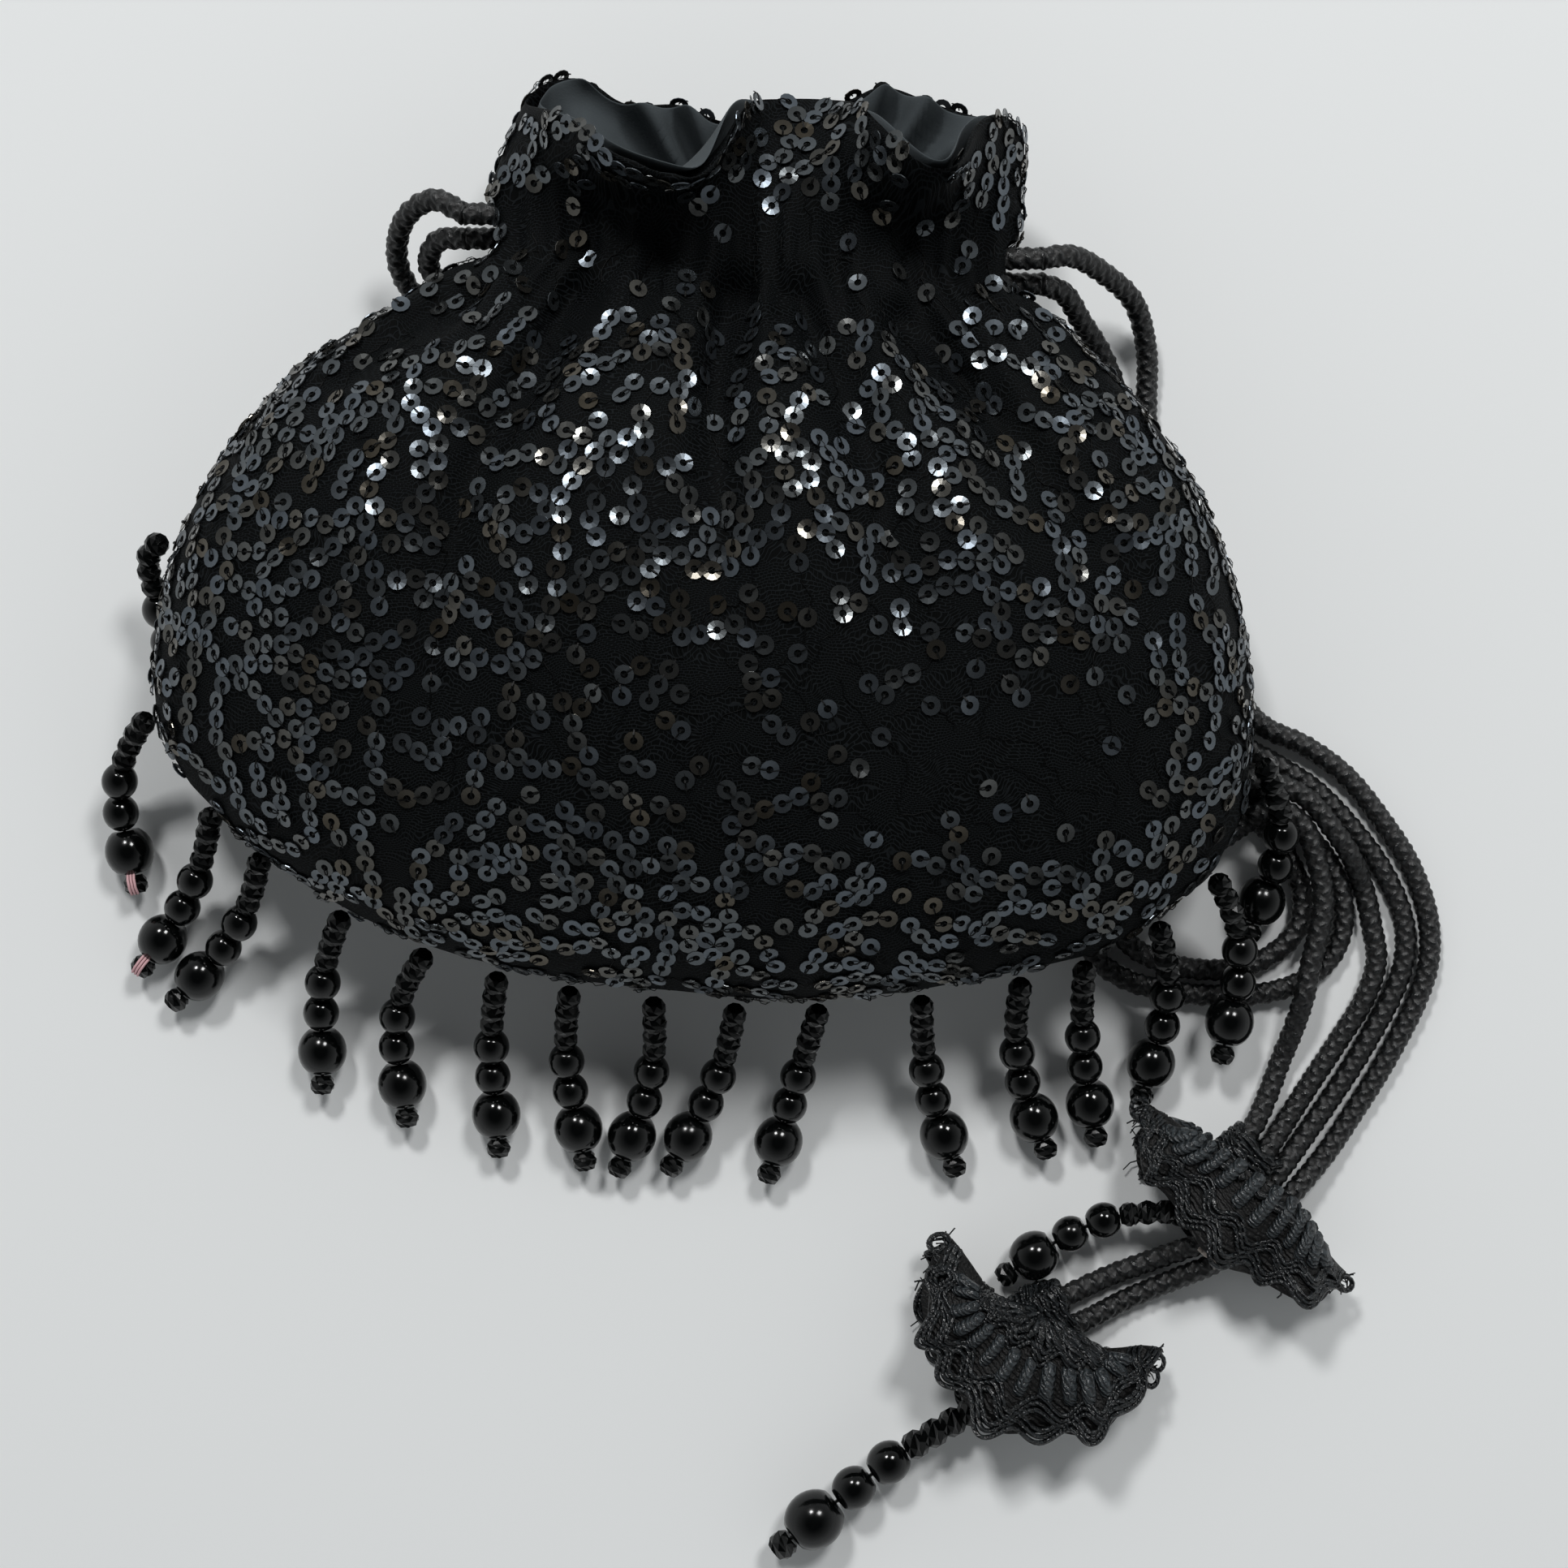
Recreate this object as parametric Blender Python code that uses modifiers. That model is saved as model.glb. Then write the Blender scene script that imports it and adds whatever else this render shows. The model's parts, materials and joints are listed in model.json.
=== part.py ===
"""A potli bag: a drawstring pouch of sequined net, lying on its back.

Run with blender --background --python part.py, or from Blender's text editor.

The frame: Z is up and the bag lies with the flat patch of its back on z = 0. The origin is the
centre of that patch. The mouth points along +Y and the beaded seam along -Y.
Every size below is in millimetres. The functions work in millimetres too, and MM turns each
finished point into Blender's metres.
"""

import math

import bmesh
import bpy
import numpy as np
from mathutils import Matrix, Vector

MM = 0.001
COLLECTION = "potli_bag"

# Cloth
CLOTH = 0.9                 # sequined net on its backing
LINING = 0.5                # crepe lining
LAYER_GAP = 1.1             # between the cloth and the lining, in the frill
BODY_GAP = 4.2              # the same in the body, where the lining hangs loose
CHANNEL_ROOM = 6.2          # the same in the drawstring channel
LINING_SLACK = ((0.0, 0.0), (0.1, 6.0), (0.3, 5.0), (0.55, 3.5), (0.85, 2.0), (1.0, 0.5))

# The bag as it lies
SEAM_Z = 18.0               # height of the seam that joins front and back
CREST = 33.0                # the front's crest above the seam
CREST_AT = 0.45             # where the crest is, from the neck to the lower seam
PATCH = 0.45                # share of the back that lies flat
NECK_Z = 20.0
NECK_HALF = 12.0            # half the thickness of the gathered neck
NECK_ENDS = ((-34.5, 58.5), (51.0, 52.0))
LEFT_SEAM = ((-34.5, 58.5), (-49.0, 51.0), (-64.5, 41.5), (-76.5, 28.5), (-84.5, 13.0),
             (-87.7, -5.0), (-85.8, -17.0), (-80.0, -25.5))
LOWER_SEAM = ((-80.0, -25.5), (-70.5, -34.5), (-54.0, -46.2), (-33.5, -54.0), (-8.0, -58.3),
              (17.5, -59.6), (43.0, -56.8), (66.0, -50.5), (81.0, -39.0))
RIGHT_SEAM = ((51.0, 52.0), (58.0, 47.0), (68.7, 37.5), (79.0, 23.5), (86.0, 7.0),
              (88.8, -12.0), (86.8, -29.0), (81.0, -39.0))

# The frill above the neck: its rim on the front and on the back, between shared ends
FRONT_RIM = ((-28.0, 82.0, 22.0), (-19.2, 75.4, 40.0), (-12.0, 68.0, 47.0), (-3.0, 64.3, 50.0),
             (1.8, 63.2, 50.0), (4.6, 69.0, 46.0), (8.0, 79.0, 35.0), (11.5, 82.0, 26.0),
             (16.0, 82.5, 24.5), (22.0, 82.0, 26.0), (26.2, 77.0, 38.0), (30.8, 69.5, 46.0),
             (35.8, 64.8, 49.0), (39.4, 66.0, 48.0), (42.6, 75.0, 38.0), (47.0, 78.5, 30.0),
             (51.5, 77.5, 21.0))
BACK_RIM = ((-28.0, 82.0, 22.0), (-25.0, 86.0, 18.0), (-18.5, 87.5, 15.5), (-12.0, 83.2, 15.5),
            (-2.5, 83.4, 15.5), (3.5, 80.5, 15.5), (10.0, 82.5, 16.0), (16.0, 83.2, 16.0),
            (22.0, 83.2, 16.0), (28.8, 86.2, 15.5), (37.0, 83.3, 15.5), (43.0, 81.2, 16.0),
            (48.0, 80.0, 18.0), (51.5, 77.5, 21.0))
FRILL_BULGE = 1.6
CHANNEL = 8.0               # width of the drawstring channel, between the neck and the frill
CHANNEL_TOP = 0.25          # the same as a level: the frill flares from there to its rim
LEFT_IN_CHANNEL = -0.19     # the level at which each drawstring runs round the channel
RIGHT_IN_CHANNEL = -0.055
CHANNEL_SHARES = (0.10, 0.985)   # how far round the neck it goes, from its own slot
CHANNEL_POINTS = 26

# Gathers: pleats all round the neck, and the longer folds of the front
PLEATS = 7                  # on each side
PLEAT_DEPTH = 0.8           # in the channel, where the cord holds them flat
PLEAT_SWELL = 1.7           # more of it just below the neck
PLEAT_REACH = 0.2
FOLDS = (                   # points along a fold's valley, its depth and its half width
    (((-18.0, 50.0), (-25.0, 36.0), (-33.0, 22.0), (-38.0, 4.0), (-39.0, -14.0)), 4.6, 6.5),
    (((5.0, 50.0), (3.0, 34.0), (3.5, 20.0), (4.5, 2.0)), 3.6, 5.5),
    (((15.0, 49.0), (21.0, 36.0), (27.0, 21.0), (31.0, -4.0)), 4.2, 6.0),
    (((31.0, 46.0), (43.0, 33.0), (54.0, 19.0), (67.0, 3.0)), 4.0, 6.5),
    (((-36.0, 50.0), (-48.0, 42.0), (-60.0, 34.0)), 3.0, 6.0),
)

# How finely the cloth is divided
COLUMNS = 28                # on each side, four to a pleat
FRILL_ROWS = (1.0, 0.75, 0.5, 0.25)
BODY_ROWS = (0.0, 0.06, 0.14, 0.24, 0.36, 0.5, 0.64, 0.77, 0.88, 0.96, 1.0)
LINING_ROWS = (0.0, 0.1, 0.24, 0.45, 0.66, 0.86, 1.0)
SLOT_ROWS = 1               # rows of the channel left open at each side seam
SLOT_COLUMNS = 1            # columns left open on each side of the seam

# Cord
CORD = 3.3                  # diameter of the plaited cord
CORD_STEP = 3.0             # diameters between two points of a cord
TOUCH = 0.35                # gap kept between pieces that touch
CHANNEL_TOUCH = 0.95        # the same from the pleats of the channel

# Beads, as diameter and length along the thread
THREAD = 0.8
RONDELLE = (4.0, 2.9)
MEDIUM = (5.8, 5.8)
LARGE = (7.9, 7.9)
FRINGE = (RONDELLE,) * 4 + (MEDIUM,) * 2 + (LARGE, RONDELLE)
FAR_SCALE = 1.2             # the far tassel's beads are larger
FLOOR_GAP = 0.05

# The fringe, from the neck's left end round to the right: how far along the seam each string
# hangs, the way it heads at its start and at its end in degrees from +X, how high its large bead
# lies where a cord is under that, how far its middle is lifted where it lies over a cord, and the
# share of its length in which it turns.
STRINGS = (
    (69.0, 196, 279, 0.0, 0.0, 0.32),
    (97.0, 226, 281, 0.0, 0.0, 1.0),
    (115.0, 254, 234, 0.0, 0.0, 1.0),
    (125.5, 252, 226, 0.0, 0.0, 1.0),
    (141.4, 243, 270, 0.0, 0.0, 1.0),
    (156.0, 232, 278, 0.0, 0.0, 1.0),
    (167.7, 258, 274, 0.0, 0.0, 1.0),
    (179.3, 260, 281, 0.0, 0.0, 1.0),
    (192.5, 272, 249, 0.0, 0.0, 1.0),
    (205.6, 260, 241, 0.0, 0.0, 1.0),
    (218.8, 254, 254, 0.0, 0.0, 1.0),
    (234.9, 272, 288, 0.0, 0.0, 1.0),
    (250.9, 264, 290, 0.0, 0.0, 1.0),
    (261.2, 270, 280, 0.0, 0.0, 1.0),
    (274.3, 290, 254, 0.0, 0.0, 1.0),
    (286.0, 302, 258, 2.3, 0.0, 1.0),
    (306.0, 300, 250, 0.0, 1.0, 1.0),
)

# Tassels: gathered skirts of gimp braid, flattened by their own weight
BRAID = 1.6                 # thickness of the braid
TASSEL_NEAR = {"centre": (88.3, -90.5), "heading": 230.0, "spread": 88.0,
               "inner": (14.5, -3.5, 4.8), "outer": (21.2, 11.8, 6.2), "middle": 5.9}
TASSEL_FAR = {"centre": (54.4, -110.9), "heading": 242.0, "spread": 101.0,
              "inner": (9.2, 1.0, 4.8), "outer": (19.6, 18.2, 6.6), "middle": 6.2}
RUFFLES = 5
RUFFLE_DEPTH = 1.5
TASSEL_SECTIONS = 48
BINDING = (5.0, 8.0, 4.6)   # the cord ends, whipped together: along the cords, across and up
BINDING_NEAR = ((83.7, -89.0, 4.6), 228.0)
BINDING_FAR = ((54.0, -112.0, 5.5), 203.0)
PENDANT_NEAR = ((79.6, -93.6, 7.8), (178.0, 214.0))
PENDANT_FAR = ((45.6, -125.0, 4.3), (209.0, 219.0))

# Routes of the cords, from the neck outwards. On the floor a cord's middle is at CORD / 2.
LOW = CORD / 2 + FLOOR_GAP
OVER = LOW + CORD + TOUCH + 0.1
LEFT_UPPER = ((-36.4, 64.2, 22.6), (-41.5, 66.8, 21.0), (-46.8, 64.6, 16.0), (-48.6, 58.5, 9.0),
              (-44.6, 52.4, 4.0), (-36.0, 48.9, LOW), (-20.0, 47.9, LOW), (0.0, 47.7, LOW),
              (30.0, 45.8, LOW), (43.0, 42.6, 2.6), (51.5, 38.4, OVER), (58.0, 33.6, OVER),
              (65.0, 27.0, OVER), (71.5, 19.0, OVER), (75.6, 10.5, 4.4), (78.4, -0.5, 2.0),
              (81.6, -10.5, LOW), (87.0, -17.6, LOW), (93.6, -21.6, LOW), (99.4, -25.4, LOW),
              (105.6, -31.8, LOW), (110.8, -39.0, LOW), (114.0, -46.8, LOW), (114.1, -53.2, LOW),
              (112.2, -58.8, LOW), (107.3, -67.8, LOW), (102.4, -75.4, LOW), (97.6, -82.0, 2.6),
              (92.9, -87.9, 4.4), (89.7, -91.7, 4.4), (85.4, -95.6, 4.4), (80.6, -98.8, 4.5),
              (75.0, -101.3, 2.2), (67.4, -104.1, LOW), (61.0, -106.6, 3.4), (55.8, -108.7, 5.4))
LEFT_LOWER = ((-36.4, 61.2, 18.4), (-41.4, 61.4, 15.5), (-43.6, 58.0, 9.5), (-39.0, 54.0, 4.0),
              (-30.0, 52.4, LOW), (0.0, 51.6, LOW), (32.0, 49.6, LOW), (46.0, 46.5, 2.6),
              (54.0, 42.6, OVER), (61.0, 37.5, OVER), (68.0, 31.0, OVER), (75.0, 22.5, OVER),
              (80.0, 12.0, 3.0), (82.5, 1.0, LOW), (85.5, -8.5, LOW), (91.0, -15.0, LOW),
              (98.0, -18.4, LOW), (104.5, -23.2, LOW), (110.8, -31.0, LOW), (115.2, -38.0, LOW),
              (118.0, -46.5, LOW), (118.1, -53.5, LOW), (116.2, -59.7, LOW), (111.0, -69.8, LOW),
              (106.0, -77.8, LOW), (101.2, -84.6, 2.6), (95.9, -90.4, 4.4), (92.5, -94.0, 4.4),
              (88.2, -98.4, 4.2), (83.2, -102.0, 4.0), (77.0, -105.0, 2.2), (69.0, -108.4, LOW),
              (62.6, -111.3, 3.4), (57.4, -113.0, 5.4))
RIGHT_UPPER = ((53.4, 57.4, 22.0), (58.0, 58.2, 20.0), (64.0, 56.4, 14.0), (69.6, 52.6, 7.5),
               (72.0, 45.6, 3.4), (72.2, 38.0, LOW), (72.0, 28.0, LOW), (71.6, 16.0, LOW),
               (71.2, 0.0, LOW), (70.6, -14.0, LOW), (68.8, -28.0, LOW), (67.0, -38.0, LOW),
               (66.6, -45.6, LOW), (69.6, -50.8, LOW), (75.0, -53.6, LOW), (81.4, -54.8, LOW),
               (88.0, -54.3, LOW), (93.2, -51.9, LOW), (96.9, -47.8, LOW), (97.5, -42.4, LOW),
               (95.4, -37.0, LOW), (92.2, -32.4, LOW), (86.4, -28.0, LOW), (82.0, -26.0, LOW),
               (77.8, -26.6, LOW), (75.4, -29.8, 3.0), (77.4, -33.2, OVER), (82.0, -34.2, OVER),
               (87.4, -31.2, OVER), (92.2, -28.4, OVER), (97.0, -31.2, OVER), (99.4, -37.6, OVER),
               (100.3, -43.4, OVER), (99.4, -49.0, OVER), (98.2, -54.0, OVER), (97.2, -59.0, OVER),
               (95.8, -64.4, 3.4), (94.0, -69.6, LOW), (91.9, -75.0, 2.2), (89.4, -80.0, 3.4),
               (86.5, -83.3, 4.4), (84.2, -85.8, 4.6))
RIGHT_LOWER = ((53.4, 54.2, 18.0), (57.4, 53.2, 15.0), (61.0, 49.4, 9.0), (64.6, 45.0, 4.4),
               (67.6, 38.0, LOW), (68.0, 28.0, LOW), (67.8, 16.0, LOW), (67.4, 0.0, LOW),
               (66.6, -14.0, LOW), (64.8, -28.0, LOW), (62.8, -38.0, LOW), (61.8, -46.0, LOW),
               (63.6, -52.4, LOW), (68.4, -56.2, LOW), (75.5, -58.2, LOW), (83.0, -59.0, LOW),
               (91.0, -58.7, LOW), (98.0, -56.4, LOW), (102.4, -52.4, LOW), (104.2, -47.2, LOW),
               (103.6, -41.4, LOW), (101.0, -36.0, LOW), (97.0, -31.8, LOW), (92.0, -28.0, LOW),
               (86.4, -23.2, LOW), (81.6, -18.8, LOW), (77.0, -16.0, LOW), (72.8, -17.0, 2.6),
               (71.4, -21.0, 4.6), (75.0, -24.0, OVER), (80.6, -24.4, OVER), (87.0, -23.8, OVER),
               (92.6, -24.4, OVER), (98.0, -27.2, OVER), (101.8, -31.8, OVER), (105.0, -36.4, 4.4),
               (107.6, -42.0, LOW), (108.8, -47.6, LOW), (109.6, -53.2, LOW), (107.8, -59.2, LOW),
               (103.5, -66.2, LOW), (99.0, -73.0, LOW), (94.7, -79.4, 2.6), (90.3, -85.4, 4.4),
               (88.0, -88.2, 4.6))

# Colours
SEQUIN_BLACK = (0.012, 0.013, 0.015)
CREPE_BLACK = (0.009, 0.009, 0.010)
CORD_BLACK = (0.007, 0.008, 0.010)
BEAD_BLACK = (0.004, 0.005, 0.006)


def material(name, colour, roughness, metallic=0.0):
    made = bpy.data.materials.new(name)
    made.use_nodes = True
    surface = made.node_tree.nodes["Principled BSDF"]
    surface.inputs["Base Color"].default_value = (*colour, 1.0)
    surface.inputs["Roughness"].default_value = roughness
    surface.inputs["Metallic"].default_value = metallic
    return made


def link(obj, surface):
    bpy.data.collections[COLLECTION].objects.link(obj)
    obj.data.materials.append(surface)
    return obj


def smooth_curve(points, count):
    """Points evenly spaced along a centripetal curve through the given ones."""
    knots = np.array(points, float)
    before = 2 * knots[0] - knots[1]
    after = 2 * knots[-1] - knots[-2]
    knots = np.vstack([before, knots, after])
    fine = []
    for i in range(1, len(knots) - 2):
        p0, p1, p2, p3 = knots[i - 1:i + 3]
        t1 = math.dist(p0, p1) ** 0.5
        t2 = t1 + math.dist(p1, p2) ** 0.5
        t3 = t2 + math.dist(p2, p3) ** 0.5
        for t in np.linspace(t1, t2, 24, endpoint=False):
            a1 = (t1 - t) / t1 * p0 + t / t1 * p1
            a2 = (t2 - t) / (t2 - t1) * p1 + (t - t1) / (t2 - t1) * p2
            a3 = (t3 - t) / (t3 - t2) * p2 + (t - t2) / (t3 - t2) * p3
            b1 = (t2 - t) / t2 * a1 + t / t2 * a2
            b2 = (t3 - t) / (t3 - t1) * a2 + (t - t1) / (t3 - t1) * a3
            fine.append((t2 - t) / (t2 - t1) * b1 + (t - t1) / (t2 - t1) * b2)
    fine = np.array(fine + [knots[-2]])
    along = np.concatenate([[0.0], np.cumsum(np.linalg.norm(np.diff(fine, axis=0), axis=1))])
    wanted = np.linspace(0.0, along[-1], count)
    return np.stack([np.interp(wanted, along, fine[:, k]) for k in range(fine.shape[1])], axis=1)


def length_of(points):
    return float(np.linalg.norm(np.diff(points, axis=0), axis=1).sum())


def at(curve, share):
    """The point a share of the way along evenly spaced points."""
    place = share * (len(curve) - 1)
    return np.array([np.interp(place, range(len(curve)), curve[:, k])
                     for k in range(curve.shape[1])])


def ease(x):
    x = min(max(x, 0.0), 1.0)
    return x * x * (3 - 2 * x)


LEFT = smooth_curve(LEFT_SEAM, 81)
RIGHT = smooth_curve(RIGHT_SEAM, 81)
LOWER = smooth_curve(LOWER_SEAM, 121)
RIMS = {1: smooth_curve(FRONT_RIM, 161), -1: smooth_curve(BACK_RIM, 161)}


def plan(u, v):
    """Where a thread of the body lies in plan: u across, v from the neck to the lower seam."""
    upper = (1 - u) * np.array(NECK_ENDS[0]) + u * np.array(NECK_ENDS[1])
    corners = ((1 - v) * ((1 - u) * LEFT[0] + u * RIGHT[0])
               + v * ((1 - u) * LEFT[-1] + u * RIGHT[-1]))
    sides = (1 - u) * at(LEFT, v) + u * at(RIGHT, v)
    return (1 - v) * upper + v * at(LOWER, u) + sides - corners


def distance_to(point, line):
    """How far a point is from a line of points, and how far along that line it is, 0 to 1."""
    best, along = 1e9, 0.0
    for i in range(len(line) - 1):
        a = np.array(line[i])
        step = np.array(line[i + 1]) - a
        share = min(max(float(np.dot(point - a, step) / np.dot(step, step)), 0.0), 1.0)
        gap = float(np.linalg.norm(point - a - share * step))
        if gap < best:
            best, along = gap, (i + share) / (len(line) - 1)
    return best, along


def fold_depth(place):
    """The sum of the folds of the front at a place in plan: they fade towards the belly."""
    total = 0.0
    for line, depth, half_width in FOLDS:
        gap, along = distance_to(place, line)
        total += depth * (1 - 0.75 * along) * math.exp(-((gap / half_width) ** 2))
    return total


def seam_z(v):
    return NECK_Z + (SEAM_Z - NECK_Z) * ease(v / 0.3)


def round_across(u):
    return math.sqrt(max(4 * u * (1 - u), 0.0))


def front_rise(u, v):
    if v < CREST_AT:
        height = NECK_HALF + (CREST - NECK_HALF) * math.sin(v / CREST_AT * math.pi / 2)
    else:
        height = CREST * math.sqrt(max(1 - ((v - CREST_AT) / (1 - CREST_AT)) ** 2, 0.0))
    return height * round_across(u)


def back_height(u, v):
    """Height of the back: flat on the table in the middle, rising to the seam and the neck."""
    from_middle = abs(v - CREST_AT) / (1 - CREST_AT)
    reach = (abs(2 * u - 1) ** 2.4 + from_middle ** 2.4) ** (1 / 2.4)
    rise = min(max((reach - PATCH) / (1 - PATCH), 0.0), 1.0) ** 1.7
    body = seam_z(v) * rise
    neck = seam_z(v) - NECK_HALF * round_across(u)
    return neck + (body - neck) * ease(v / 0.25)


def pleat(u, v):
    """The gathers of the cloth at the neck, which fade in the body."""
    swell = PLEAT_DEPTH + PLEAT_SWELL * math.sin(min(v / 0.08, 1.0) * math.pi / 2)
    ends = min(1.0, 6 * u * (1 - u))
    return swell * ends * math.exp(-v / PLEAT_REACH) * math.cos(2 * math.pi * PLEATS * u)


def body_point(u, v, side, gathered=True):
    """A point of the cloth below the neck; side is 1 on the front and -1 on the back."""
    place = plan(u, v)
    last = 1.0 - v
    if side > 0:
        z = seam_z(v) + front_rise(u, v)
    else:
        z = back_height(u, v)
    if gathered and side > 0:
        sink = fold_depth(place) * min(1.0, 3 * last) * round_across(u) * ease(v / 0.1)
        z += pleat(u, v) * min(1.0, 4 * last) - sink
    elif gathered:
        z -= 0.5 * pleat(u, v) * (1 - ease(v / 0.12))
    return np.array([place[0], place[1], z])


def frill_point(u, t, side, gathered=True):
    """A point of the cloth above the neck, t from 0 at the neck to 1 at the rim."""
    neck = body_point(u, 0.0, side, gathered)
    rim = at(RIMS[side], u)
    flare = max(t - CHANNEL_TOP, 0.0) / (1 - CHANNEL_TOP)
    neck[1] += CHANNEL * min(t / CHANNEL_TOP, 1.0)
    point = (1 - flare) * neck + flare * rim
    point[2] += side * FRILL_BULGE * math.sin(math.pi * flare) * round_across(u)
    return point


def cloth_point(u, level, side, gathered=True):
    """Levels above 0 run down the body, and levels below 0 run up the frill to -1."""
    if level < 0:
        return frill_point(u, -level, side, gathered)
    return body_point(u, level, side, gathered)


def under_frill(u, level, side, inset):
    """A point so far under the cloth of the frill, square to it."""
    step = 0.004
    here = cloth_point(u, level, side)
    across = cloth_point(min(u + step, 1.0), level, side) - cloth_point(max(u - step, 0.0), level, side)
    along = cloth_point(u, min(level + step, 0.0), side) - cloth_point(u, max(level - step, -1.0), side)
    inward = np.cross(across, along) * side
    inward /= np.linalg.norm(inward)
    sideways = np.array([1.0 if u < 0.5 else -1.0, 0.0, 0.0])
    square = min(1.0, 1.6 * round_across(u))
    return here + inset * (square * inward + 1.3 * (1 - square) * sideways)


def inner_point(u, level, side, inset):
    """A point of a layer inside the neck and the body, where the cloth's gathers are left out.

    The layer keeps the inset from front and back, from both ends of a ring and from the seam.
    """
    lowest = min(level, 1 - inset / 58.0)
    width = 85.0 + 85.0 * min(max(level, 0.0) / 0.4, 1.0)
    edge = (inset + 2.4) / width
    across = edge + (1 - 2 * edge) * u
    front = cloth_point(across, lowest, 1, gathered=False)
    back = cloth_point(across, lowest, -1, gathered=False)
    half = (front - back) / 2
    thickness = float(np.linalg.norm(half))
    closing = min(1.0, 2.2 * round_across(u)) * min(1.0, 3.0 * math.sqrt(max(1 - level, 0.0)))
    folds = np.interp(level, *zip(*LINING_SLACK)) if side > 0 else 0.0
    kept = max(thickness - inset - folds, 0.3) * closing
    return (front + back) / 2 + side * half / thickness * kept


def lining_point(u, level, side):
    if level <= -0.5:
        return under_frill(u, level, side, CLOTH + LAYER_GAP)
    in_body = ease(level / 0.2)
    channel = CHANNEL_ROOM + PLEAT_DEPTH
    return inner_point(u, level, side, CLOTH + channel + (BODY_GAP - channel) * in_body)


def pouch(name, levels, point, thickness, surface, open_sides):
    """A pouch of cloth: rings from the rim to the lower seam, where front and back meet."""
    shape = bmesh.new()
    front = []
    back = []
    for row, level in enumerate(levels):
        ring = [shape.verts.new(Vector(point(j / COLUMNS, level, 1)) * MM)
                for j in range(COLUMNS + 1)]
        other = list(ring)
        if row < len(levels) - 1:
            for j in range(1, COLUMNS):
                other[j] = shape.verts.new(Vector(point(j / COLUMNS, level, -1)) * MM)
        front.append(ring)
        back.append(other)
    slot = range(len(FRILL_ROWS) - SLOT_ROWS, len(FRILL_ROWS)) if open_sides else ()
    for row in range(len(levels) - 1):
        for j in range(COLUMNS):
            at_side = j < SLOT_COLUMNS or j >= COLUMNS - SLOT_COLUMNS
            if row in slot and at_side:
                continue
            shape.faces.new((front[row][j], front[row + 1][j],
                             front[row + 1][j + 1], front[row][j + 1]))
            corners = (back[row][j + 1], back[row + 1][j + 1], back[row + 1][j], back[row][j])
            shape.faces.new(corners)
    bmesh.ops.triangulate(shape, faces=list(shape.faces))
    loose = [vert for vert in shape.verts if not vert.link_faces]
    bmesh.ops.delete(shape, geom=loose, context="VERTS")
    mesh = bpy.data.meshes.new(name)
    shape.to_mesh(mesh)
    shape.free()
    mesh.shade_smooth()
    obj = link(bpy.data.objects.new(name, mesh), surface)
    walls = obj.modifiers.new("walls", "SOLIDIFY")
    walls.thickness = thickness * MM
    walls.offset = -1.0
    return obj


def tube(name, points, diameter, surface, radii=None, resolution=2):
    """A cord or a string: a poly curve with a round section, and its own radius at each point."""
    data = bpy.data.curves.new(name, "CURVE")
    data.dimensions = "3D"
    data.bevel_depth = diameter / 2 * MM
    data.bevel_resolution = resolution
    data.use_fill_caps = True
    data.twist_mode = "MINIMUM"
    line = data.splines.new("POLY")
    line.points.add(len(points) - 1)
    for i, point in enumerate(points):
        line.points[i].co = (*(Vector(point) * MM), 1.0)
        line.points[i].radius = radii[i] if radii else 1.0
    return link(bpy.data.objects.new(name, data), surface)


def cord(name, route, surface):
    length = length_of(smooth_curve(route, 400))
    points = smooth_curve(route, round(length / (CORD_STEP * CORD)) + 1)
    points[:, 2] = np.maximum(points[:, 2], LOW)
    return tube(name, points, CORD, surface)


def channel_cord(name, end, level, surface):
    """The part of a drawstring that the channel hides: once round the neck, between the layers.

    Its two ends face the slot at the left (end 0) or at the right (end 1).
    """
    inset = CLOTH + PLEAT_DEPTH + CORD / 2 + CHANNEL_TOUCH
    shares = np.linspace(*CHANNEL_SHARES, CHANNEL_POINTS // 2)
    across = shares if end == 0 else 1 - shares
    front = [inner_point(u, level, 1, inset) for u in across]
    back = [inner_point(u, level, -1, inset) for u in reversed(across)]
    return tube(name, smooth_curve(front + back, CHANNEL_POINTS), CORD, surface)


def seam_line():
    """The seam in plan, from its left end at the neck, down, across and up to the right."""
    return np.vstack([LEFT[:-1], LOWER, RIGHT[::-1][1:]])


def point_on_seam(distance):
    line = seam_line()
    along = np.concatenate([[0.0], np.cumsum(np.linalg.norm(np.diff(line, axis=0), axis=1))])
    return np.array([np.interp(distance, along, line[:, k]) for k in (0, 1)])


def bead_profile(beads, scale=1.0):
    """Distances along the thread and radii there, for beads that touch one another."""
    stations = [(TOUCH, THREAD / 2)]
    centres = []
    along = 2 * TOUCH
    for diameter, length in beads:
        wide, long = diameter / 2 * scale, length * scale
        if diameter == RONDELLE[0]:
            shape = ((0.04, 0.58), (0.5, 1.0))
        else:
            shape = ((0.03, 0.38), (0.22, 0.84), (0.5, 1.0), (0.78, 0.84))
        stations += [(along + share * long, wide * radius) for share, radius in shape]
        centres.append(along + long / 2)
        along += long
    stations += [(along - 0.1, RONDELLE[0] / 2 * 0.58 * scale), (along + 0.3, THREAD / 2)]
    return stations, centres


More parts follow.
